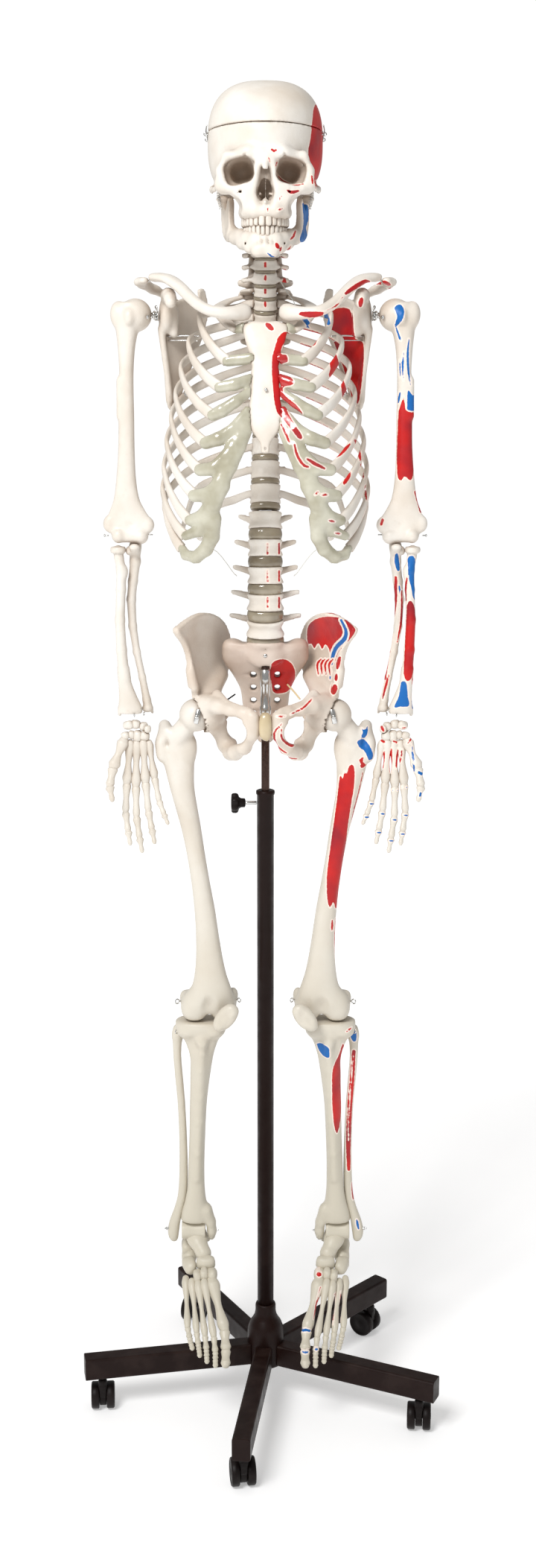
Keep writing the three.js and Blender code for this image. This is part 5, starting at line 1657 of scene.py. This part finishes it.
def fibula_shell():
    clay = Clay((110, 0, 220), (146, 44, 566), 2.1)
    clay.add(stack([
        [226, 132, 28, 4, 5], [233, 133, 28, 7, 8], [243, 133, 28.5, 8.2, 9], [258, 130.5, 28.5, 7.8, 8.5],
        [280, 124, 28, 6.6, 7], [300, 119.6, 27, 6.4, 6.4], [330, 117.6, 25.5, 6.2, 6],
        [380, 117.4, 22.5, 5.6, 5.6],
        [435, 119, 20, 5.4, 5.4], [480, 122, 16.5, 5.6, 5.6], [510, 124, 14.5, 5.6, 5.6],
        [532, 124, 14, 6.4, 6.4],
        [545, 123, 13, 8.6, 8.4], [556, 122, 12, 7.5, 7], [561, 122, 11, 4, 4],
    ], 2.2, 3), 0.1)
    clay.add(rod((122, 10, 552), (121, 14, 560), 4, 2.6), 4)
    clay.cut(ball((128, 38, 236), (5, 8, 12)), 3)
    clay.cut(rod((80, 26, 244), (110.5, 26, 244), 13.8), 0.8)
    return clay.shell()


def femur_red(p):
    front = patch(p, [(99, 914), (101, 922), (104, 918), (106, 929), (109, 925), (112, 935), (118, 937),
                      (120, 925),
                      (119, 905), (116, 886), (113, 865), (111, 849), (109, 825), (106, 806), (104, 784),
                      (101, 760),
                      (100, 744), (96, 737), (92, 748), (88, 740), (84, 752), (83, 780), (86, 812), (91, 849),
                      (96, 886), (98, 905)])
    return nearest(front, patch(p, [(125, 942), (128, 946), (132, 947), (131, 940), (136, 936), (131, 932),
                                    (127, 934),
                                    (128, 939)]),
                   stroke(p, [(91, 722), (91, 708)], 3.4, 0.4),
                   stroke(p, [(131, 926), (126, 900), (120, 876), (115, 849)], 2.2, 0.4),
                   stroke(p, [(96, 724), (95, 690), (97, 660)], 1.8, 0.4))


def femur_blue(p):
    return nearest(patch(p, [(128, 987), (133, 984), (137, 988), (137, 979), (133, 973), (128, 975),
                             (130, 981)]),
                   patch(p, [(122, 968), (130, 972), (138, 965), (143, 956), (145, 946), (139, 942),
                             (136, 949),
                             (132, 956), (126, 960)]),
                   stroke(p, [(45, 640), (43, 622)], 3, 0.5))


def tibia_red(p):
    return nearest(patch(p, [(107, 541), (111, 528), (109, 500), (108, 470), (107, 440), (105, 415),
                             (101, 403),
                             (97, 414), (94, 440), (93, 470), (93, 498), (96, 512), (102, 524)]),
                   stroke(p, [(119, 566), (112, 562)], 3, 0.4))


def tibia_blue(p):
    return patch(p, [(71, 540), (79, 543), (87, 540), (89, 531), (88, 523), (80, 524), (74, 531)])


def fibula_red(p):
    long = stroke(p, [(124, 522), (122, 480), (119, 430), (118, 380), (119, 340)], 7.5, 0.3)
    bare = stroke(p, [(123, 515), (121, 480), (118.5, 430), (118, 385)], 1.4)
    return nearest(np.maximum(long, -bare), stroke(p, [(124, 318), (126, 292)], 3.4, 0.5))


def fibula_blue(p):
    return nearest(stroke(p, [(122, 556), (124, 540)], 9, 0.3), stroke(p, [(131, 262), (134, 248)], 4, 0.4))


def build_legs():
    side_pair("femur_bone", femur_shell(), "thigh", "femur", red=femur_red, blue=femur_blue)
    side_pair("patella_bone", patella_shell(), "thigh", "patella")
    side_pair("tibia_bone", tibia_shell(), "shank", "tibia", red=tibia_red, blue=tibia_blue)
    side_pair("fibula_bone", fibula_shell(), "shank", "fibula", red=fibula_red, blue=fibula_blue)
    x, y, z = HIP
    straps = [
        tube([(x - 5, y - 22.8, z + 11, 3.2, 0.7), (x - 3, y - 25.2, z + 3, 3.2, 0.7),
              (x - 1, y - 24.6, z - 7, 3.2, 0.7)], 8, (1, 0, 0), 4, power=4),
        screw_head(3.1, 2).moved(at(x - 2.6, y - 25.4, z + 2, (90, 0, 0))),
    ]
    side_pair("hip_straps", joined(straps), None, None, chrome, "chrome_steel")
    eyes = [eye_screw((117, -6, 601), (0.8, -0.6, 0.1), 3.2, 8, 0.9),
            eye_screw((40, -6, 603), (-0.7, -0.7, 0.1), 2.8, 6, 0.8)]
    side_pair("femur_fittings", joined(eyes), "thigh", None, chrome, "chrome_steel")
    pins = [
        wire([(134, 26, 246), (145, 24, 247)], 1.1),
        turned([(2.4, 0), (2.4, 1.6), (0.01, 1.8)], 10).moved(at(141.5, 24.6, 246.7, (0, 90, 0))),
        wire([(76, 24, 244), (68.5, 23, 245)], 1.1),
        eye_screw((120, -4, 556), (0.7, -0.7, 0.2), 2.6, 6, 0.8),
    ]
    side_pair("shank_fittings", joined(pins), "shank", None, chrome, "chrome_steel")


# ---- feet: laid out flat round the ankle's axis with the toes towards -Y ----------------------------
TOES_DOWN = Matrix.Rotation(math.radians(26), 4, "X")
TOES_IN = Matrix.Rotation(math.radians(-7), 4, "Z")
FOOT_PLACE = at(*ANKLE) @ TOES_DOWN @ TOES_IN
FOOT_RAYS = [
    (8.4, [(-15, -68, -30), (-26, -136, -54), (-25, -164, -60), (-22, -188, -62)]),
    (5.2, [(-4, -70, -27), (-10, -144, -55), (-10, -166, -60), (-9, -176, -62), (-8, -187, -64)]),
    (5.0, [(4.5, -70, -29), (2, -140, -56), (2, -160, -61), (2.5, -170, -62.5), (3, -179, -64)]),
    (5.0, [(13, -62, -34), (13, -132, -58), (12.5, -149, -62), (12, -158, -63), (12, -168, -64)]),
    (5.0, [(21, -52, -40), (25, -122, -59), (23.5, -137, -62), (22.5, -146, -63), (21, -155, -64)]),
]
TARSALS = [
    ((-9, -44, -20), (13, 9, 11), (-14, 0, 10)), ((14, -38, -30), (10, 15, 10), (-10, 0, -8)),
    ((-16, -61, -27), (7.5, 10.5, 10), (-18, 0, 4)), ((-5, -60, -24), (6, 9, 9), (-18, 0, 0)),
    ((4.5, -60, -27), (6, 10, 9), (-18, 0, -3)),
]


def foot_shell():
    clay = Clay((-30, -52, -66), (34, 56, 16), 2.3)
    clay.add(chain([(3, 40, -50, 12.5), (4, 24, -42, 13.5), (7, 4, -36, 13.5), (13, -20, -34, 11)], blend=7),
             0.1)
    clay.add(ball((3, 46, -47), (13.5, 10, 17)), 6)
    clay.add(rod((-14, 2, -22), (-8, 10, -24), 7, 6), 6)
    clay.cut(rod((20, -12, -22), (8, -8, -22), 7, 6), 4)                   # gap under the talus
    clay.add(ball((0, -4, -9), (15.5, 22, 12)), 4)
    clay.add(chain([(-2, -16, -12, 11), (-7, -30, -16, 11.5)], blend=4), 5)
    heel = clay.shell()
    parts = [heel] + [lump(place, size, turn, 0.08, 2.7) for place, size, turn in TARSALS]
    for size, joints in FOOT_RAYS:
        for i, (start, end) in enumerate(segments(joints, 0.9)):
            wide = size * (1.0 if i == 0 else 0.98 - 0.08 * i)
            waist = size * (0.6 if i == 0 else 0.66)
            parts.append(shaft_bone(start, end, wide * (1.22 if i == 0 else 1), waist, wide,
                                    up=(0, 0, 1), deep=1.0 if i == 0 else 0.85))
    sole = joined(parts).moved(FOOT_PLACE)
    y, z = ANKLE[1:]
    drum = tube([(87, y, z, 12.6, 12.6), (90, y, z, 13, 13), (103, y, z, 12.2, 12.2), (117, y, z, 13, 13),
                 (120.5, y, z, 12.6, 12.6)], 28, (0, 0, 1), 3, ends=False)
    return joined([sole, drum])


def foot_point(x, y, z):
    place = FOOT_PLACE @ Vector((x, y, z))
    return place[0], place[2]


def foot_red(p):
    dot = foot_point(-17, -66, -18)
    first, second = foot_point(-12, -82, -26), foot_point(-17, -124, -44)
    others = [stroke(p, [foot_point(x, -86, -32), foot_point(x * 1.1, -126, -50)], 2.2, 0.5) for x in (9, 18)]
    return nearest(stroke(p, [dot, (dot[0] + 2, dot[1] - 1)], 6), stroke(p, [first, second], 3.2, 0.5),
                   *others)


def foot_blue(p):
    joint = foot_point(-26, -141, -50)
    tip = foot_point(-24, -170, -56)
    return nearest(stroke(p, [(joint[0] - 7, joint[1]), (joint[0], joint[1] + 2), (joint[0] + 6, joint[1])],
                          3, 0.4),
                   stroke(p, [(tip[0] - 5, tip[1]), (tip[0] + 5, tip[1])], 2.6, 0.4),
                   stroke(p, [foot_point(-10, -166, -55), foot_point(-8, -166, -55)], 3))


def build_feet():
    side_pair("foot_bones", foot_shell(), "foot", "foot", red=foot_red, blue=foot_blue)


# ---- stand ---------------------------------------------------------------------------------------
LEG_ANGLES = [-7 + 72 * n for n in range(5)]
CASTER_HEADINGS = [8, -6, 55, -20, 4]
CASTER_REACH = 237
CASTER_TRAIL = 9
WHEEL_RADIUS = 19
KNOB_HEIGHT = 881
ROD_RADIUS = 5.5
ROD_LOW = 640
ROD_TOP = 1086


def bar_along_x(x0, x1, y, z, radius, sides):
    bar = turned([(radius * 0.9, x0), (radius, x0 + 0.6), (radius, x1 - 0.6), (radius * 0.9, x1)], sides)
    return bar.moved(at(0, y, z) @ Matrix.Rotation(math.radians(90), 4, "Y"))


def box_bar(half_wide, low, high, y0, y1):
    """A bar along Y with rounded long edges."""
    edge = 3.2
    outline = []
    for cx, cz, start in ((half_wide - edge, high - edge, 0), (-half_wide + edge, high - edge, 90),
                          (-half_wide + edge, low + edge, 180), (half_wide - edge, low + edge, 270)):
        for step in range(5):
            angle = math.radians(start + step * 22.5)
            outline.append((cx + edge * math.cos(angle), cz + edge * math.sin(angle)))
    points = []
    middle = (low + high) / 2
    rows = [(y0, 1), (y1 + 1.2, 1), (y1 + 0.3, 0.985), (y1, 0.95)]
    for y, shrink in rows:
        points += [(x * shrink, y, middle + (z - middle) * shrink) for x, z in outline]
    return Shell(points, ring_faces(len(rows), len(outline)))


def caster_hood():
    """The caster's body round its swivel axis, with the wheels trailing towards +Y."""
    clay = Clay((-9, -12, 2), (9, 30, 52), 0.9)
    clay.add(rod((-2.2, CASTER_TRAIL, WHEEL_RADIUS), (2.2, CASTER_TRAIL, WHEEL_RADIUS), 14.5), 0.1)
    clay.keep(block((-4.8, -20, 0), (4.8, 40, 60)), 0.5)
    clay.add(block((-4.6, -6, 24), (4.6, 13, 39)), 3)
    clay.add(rod((0, 0, 36), (0, 0, 44.5), 6.6), 2.5)
    return clay.shell()


def caster_wheel(side):
    """One wheel with its domed hub cover, side -1 or 1."""
    inner, outer = 5.4, 16.9
    profile = [(3.2, inner), (WHEEL_RADIUS - 1.2, inner), (WHEEL_RADIUS, inner + 1.2),
               (WHEEL_RADIUS, outer - 2.2),
               (WHEEL_RADIUS - 1.4, outer - 0.6), (WHEEL_RADIUS - 3.4, outer - 0.3),
               (WHEEL_RADIUS - 4, outer - 1.2),
               (9, outer - 0.6), (5, outer - 0.4), (4.4, outer), (0.01, outer + 0.1)]
    wheel = turned(profile, 40).moved(Matrix.Rotation(math.radians(90), 4, "Y"))
    wheel = wheel if side > 0 else wheel.mirrored()
    return wheel.moved(Matrix.Translation((0, CASTER_TRAIL, WHEEL_RADIUS)))


def knob_shell():
    """A seven-lobed grip on a thin spindle along X."""
    lobes, sides = 7, 84
    profile = [(0.3, -46.6), (6, -46.6), (12.4, -46), (13.9, -44.4), (14.2, -41), (13.8, -38.4), (12.2, -37),
               (8, -35.6), (6.4, -33), (6.2, -28), (4, -27)]
    points = []
    for radius, x in profile:
        for i in range(sides):
            angle = 2 * math.pi * i / sides
            lobe = 1 - 0.13 * (0.5 - 0.5 * math.cos(lobes * angle)) * (1 if radius > 9 else 0.2)
            points.append((x, radius * lobe * math.cos(angle), KNOB_HEIGHT + radius * lobe * math.sin(angle)))
    return Shell(points, ring_faces(len(profile), sides))


def build_stand():
    hub = turned([(8, 50), (21, 50), (25.6, 53), (26, 56), (26, 100), (25.2, 107), (22.6, 114.5),
                  (18.6, 120.5),
                  (15.8, 126), (14.6, 133), (14.6, 141), (13.8, 143.6), (12.0, 144)], 48)
    piece("stand_hub_shell", hub, "stand", enamel, "stand_paint", "stand_hub")
    tube_shell = turned([(6, 64), (TUBE_RADIUS, 64), (TUBE_RADIUS, TUBE_TOP - 7),
                         (TUBE_RADIUS + 1, TUBE_TOP - 6),
                         (TUBE_RADIUS + 1.4, TUBE_TOP - 3.4), (TUBE_RADIUS + 1, TUBE_TOP - 1),
                         (TUBE_RADIUS - 1, TUBE_TOP), (6.2, TUBE_TOP)], 40)
    piece("stand_tube_shell", tube_shell, "stand", enamel, "stand_paint", "stand_tube")
    rod_shell = turned([(ROD_RADIUS - 0.3, ROD_LOW), (ROD_RADIUS, ROD_LOW + 1), (ROD_RADIUS, ROD_TOP - 1),
                        (ROD_RADIUS - 0.5, ROD_TOP)], 28)
    piece("stand_rod_shell", rod_shell, "rod", steel_dark, "rod_steel", "stand_rod")
    piece("clamp_knob_shell", knob_shell(), "knob", black, "black_plastic", "clamp_knob")
    spindle = bar_along_x(-33, -TUBE_RADIUS - 0.5, 0, KNOB_HEIGHT, 2.5, 16)
    piece("knob_spindle", spindle, "knob", chrome, "chrome_steel")
    bar = box_bar(12.5, 54, 86, -24, -262)
    hood = caster_hood()
    wheels = joined([caster_wheel(-1), caster_wheel(1),
                     bar_along_x(-6, 6, CASTER_TRAIL, WHEEL_RADIUS, 3, 12)])
    stem = turned([(4, 40), (4, 56)], 16)
    for number, (angle, heading) in enumerate(zip(LEG_ANGLES, CASTER_HEADINGS), 1):
        turn = Matrix.Rotation(math.radians(angle), 4, "Z")
        piece(f"stand_leg_shell_{number}", bar.moved(turn), "stand", enamel, "stand_paint",
              f"stand_leg_{number}",
              smooth=False)
        x = CASTER_REACH * math.sin(math.radians(angle))
        y = -CASTER_REACH * math.cos(math.radians(angle))
        place = at(x, y, 0, (0, 0, heading))
        piece(f"caster_hood_{number}", joined([hood, stem]).moved(place), f"caster_{number}", black,
              "black_plastic",
              f"caster_fork_{number}")
        piece(f"caster_twin_wheels_{number}", wheels.moved(place), f"wheels_{number}", black, "black_plastic",
              f"caster_wheels_{number}")


# ---- threads, wires and sticks -------------------------------------------------------------------
def build_threads():
    level = SACRUM_TOP + (THORAX_LOW - SACRUM_TOP) / 5 * 2.5
    thread = wire([(82, -93, 1236), (62, -56, 1224), (42, -18, level + 6), (39, -6, level + 2),
                   (38, 0, level)], 0.55)
    piece("rib_threads", both(thread), "torso", thread_white, "cartilage")
    neck_wire = wire([(20, -2, 1563), (28, -8, 1550), (36, -22, 1538), (38, -36, 1531)], 0.6)
    piece("neck_wire", neck_wire, "torso", thread_white, "cartilage")
    stick = wire([(30, 24, 1039), (38, 12, 1032), (46, -2, 1024)], 1.3, 8)
    piece("pelvis_stick", stick, "torso", beige, "cartilage")
    piece("pelvis_pin", wire([(-41, 10, 1028), (-51, -4, 1023)], 1.0, 8), "torso", black, "black_plastic")


# ---- floor, light and camera, in metres ----------------------------------------------------------
FLOOR_SIZE = 14
GLOW_REACH = (0.35, 2.0)        # distances from the pole between which the floor's own glow grows
GLOW = (0.34, 0.72)
AMBIENT = 0.4
BACKDROP = 1.05                 # how bright the world looks to the camera
KEY_PLACE = (-1.3, -2.6, 3.6)
KEY_AIM = (0, 0, 0.95)
KEY_SIZE = 1.3
KEY_ENERGY = 125
CAMERA_ASIDE = 0.0035
CAMERA_REACH = 2.4
CAMERA_HEIGHT = 1.414
CAMERA_DOWN = 11.93             # degrees below level
LENS = 41.6


def lay_floor():
    n = Nodes("studio_floor")
    tone = n.ramp(n.noise(2, 3), 0.3, 0.7)
    n.link(n.mix(tone, rgb(243, 242, 242), rgb(236, 236, 236)), n.shader.inputs["Base Color"])
    n.set(Roughness=0.75, Specular_IOR_Level=0.2, Emission_Color=(1.0, 1.0, 1.0, 1.0))
    reach = n.new("ShaderNodeVectorMath", operation="LENGTH")
    n.link(n.place, reach.inputs[0])
    n.link(n.ramp(reach.outputs["Value"], *GLOW_REACH, *GLOW), n.shader.inputs["Emission Strength"])
    bpy.ops.mesh.primitive_plane_add(size=FLOOR_SIZE, location=(POLE[0], POLE[1], 0))
    floor = bpy.context.object
    floor.name = "studio_floor"
    floor.data.materials.append(n.material)


def light_world():
    """An even white world that looks brighter to the camera than it lights the model."""
    world = bpy.data.worlds.new("studio")
    bpy.context.scene.world = world
    world.use_nodes = True
    tree = world.node_tree
    background = tree.nodes["Background"]
    background.inputs["Color"].default_value = (1.0, 0.995, 0.985, 1)
    seen = tree.nodes.new("ShaderNodeLightPath").outputs["Is Camera Ray"]
    level = tree.nodes.new("ShaderNodeMapRange")
    level.inputs["To Min"].default_value = AMBIENT
    level.inputs["To Max"].default_value = BACKDROP
    tree.links.new(seen, level.inputs["Value"])
    tree.links.new(level.outputs["Result"], background.inputs["Strength"])
    bpy.context.scene.view_settings.view_transform = "Standard"


def hang_key_light():
    light = bpy.data.lights.new("key", "AREA")
    light.size = KEY_SIZE
    light.energy = KEY_ENERGY
    lamp = bpy.data.objects.new("key", light)
    bpy.context.scene.collection.objects.link(lamp)
    lamp.location = KEY_PLACE
    lamp.rotation_euler = (Vector(KEY_AIM) - Vector(KEY_PLACE)).to_track_quat("-Z", "Y").to_euler()


def place_camera():
    lens = bpy.data.cameras.new("front")
    lens.lens = LENS
    camera = bpy.data.objects.new("front", lens)
    bpy.context.scene.collection.objects.link(camera)
    camera.location = (POLE[0] + CAMERA_ASIDE, POLE[1] - CAMERA_REACH, CAMERA_HEIGHT)
    camera.rotation_euler = (math.radians(90 - CAMERA_DOWN), 0, 0)
    bpy.context.scene.camera = camera


build_stand()
build_skull()
build_spine()
build_rib_cage()
build_pelvis()
build_girdle()
build_arms()
build_legs()
build_feet()
build_threads()
lay_floor()
light_world()
hang_key_light()
place_camera()
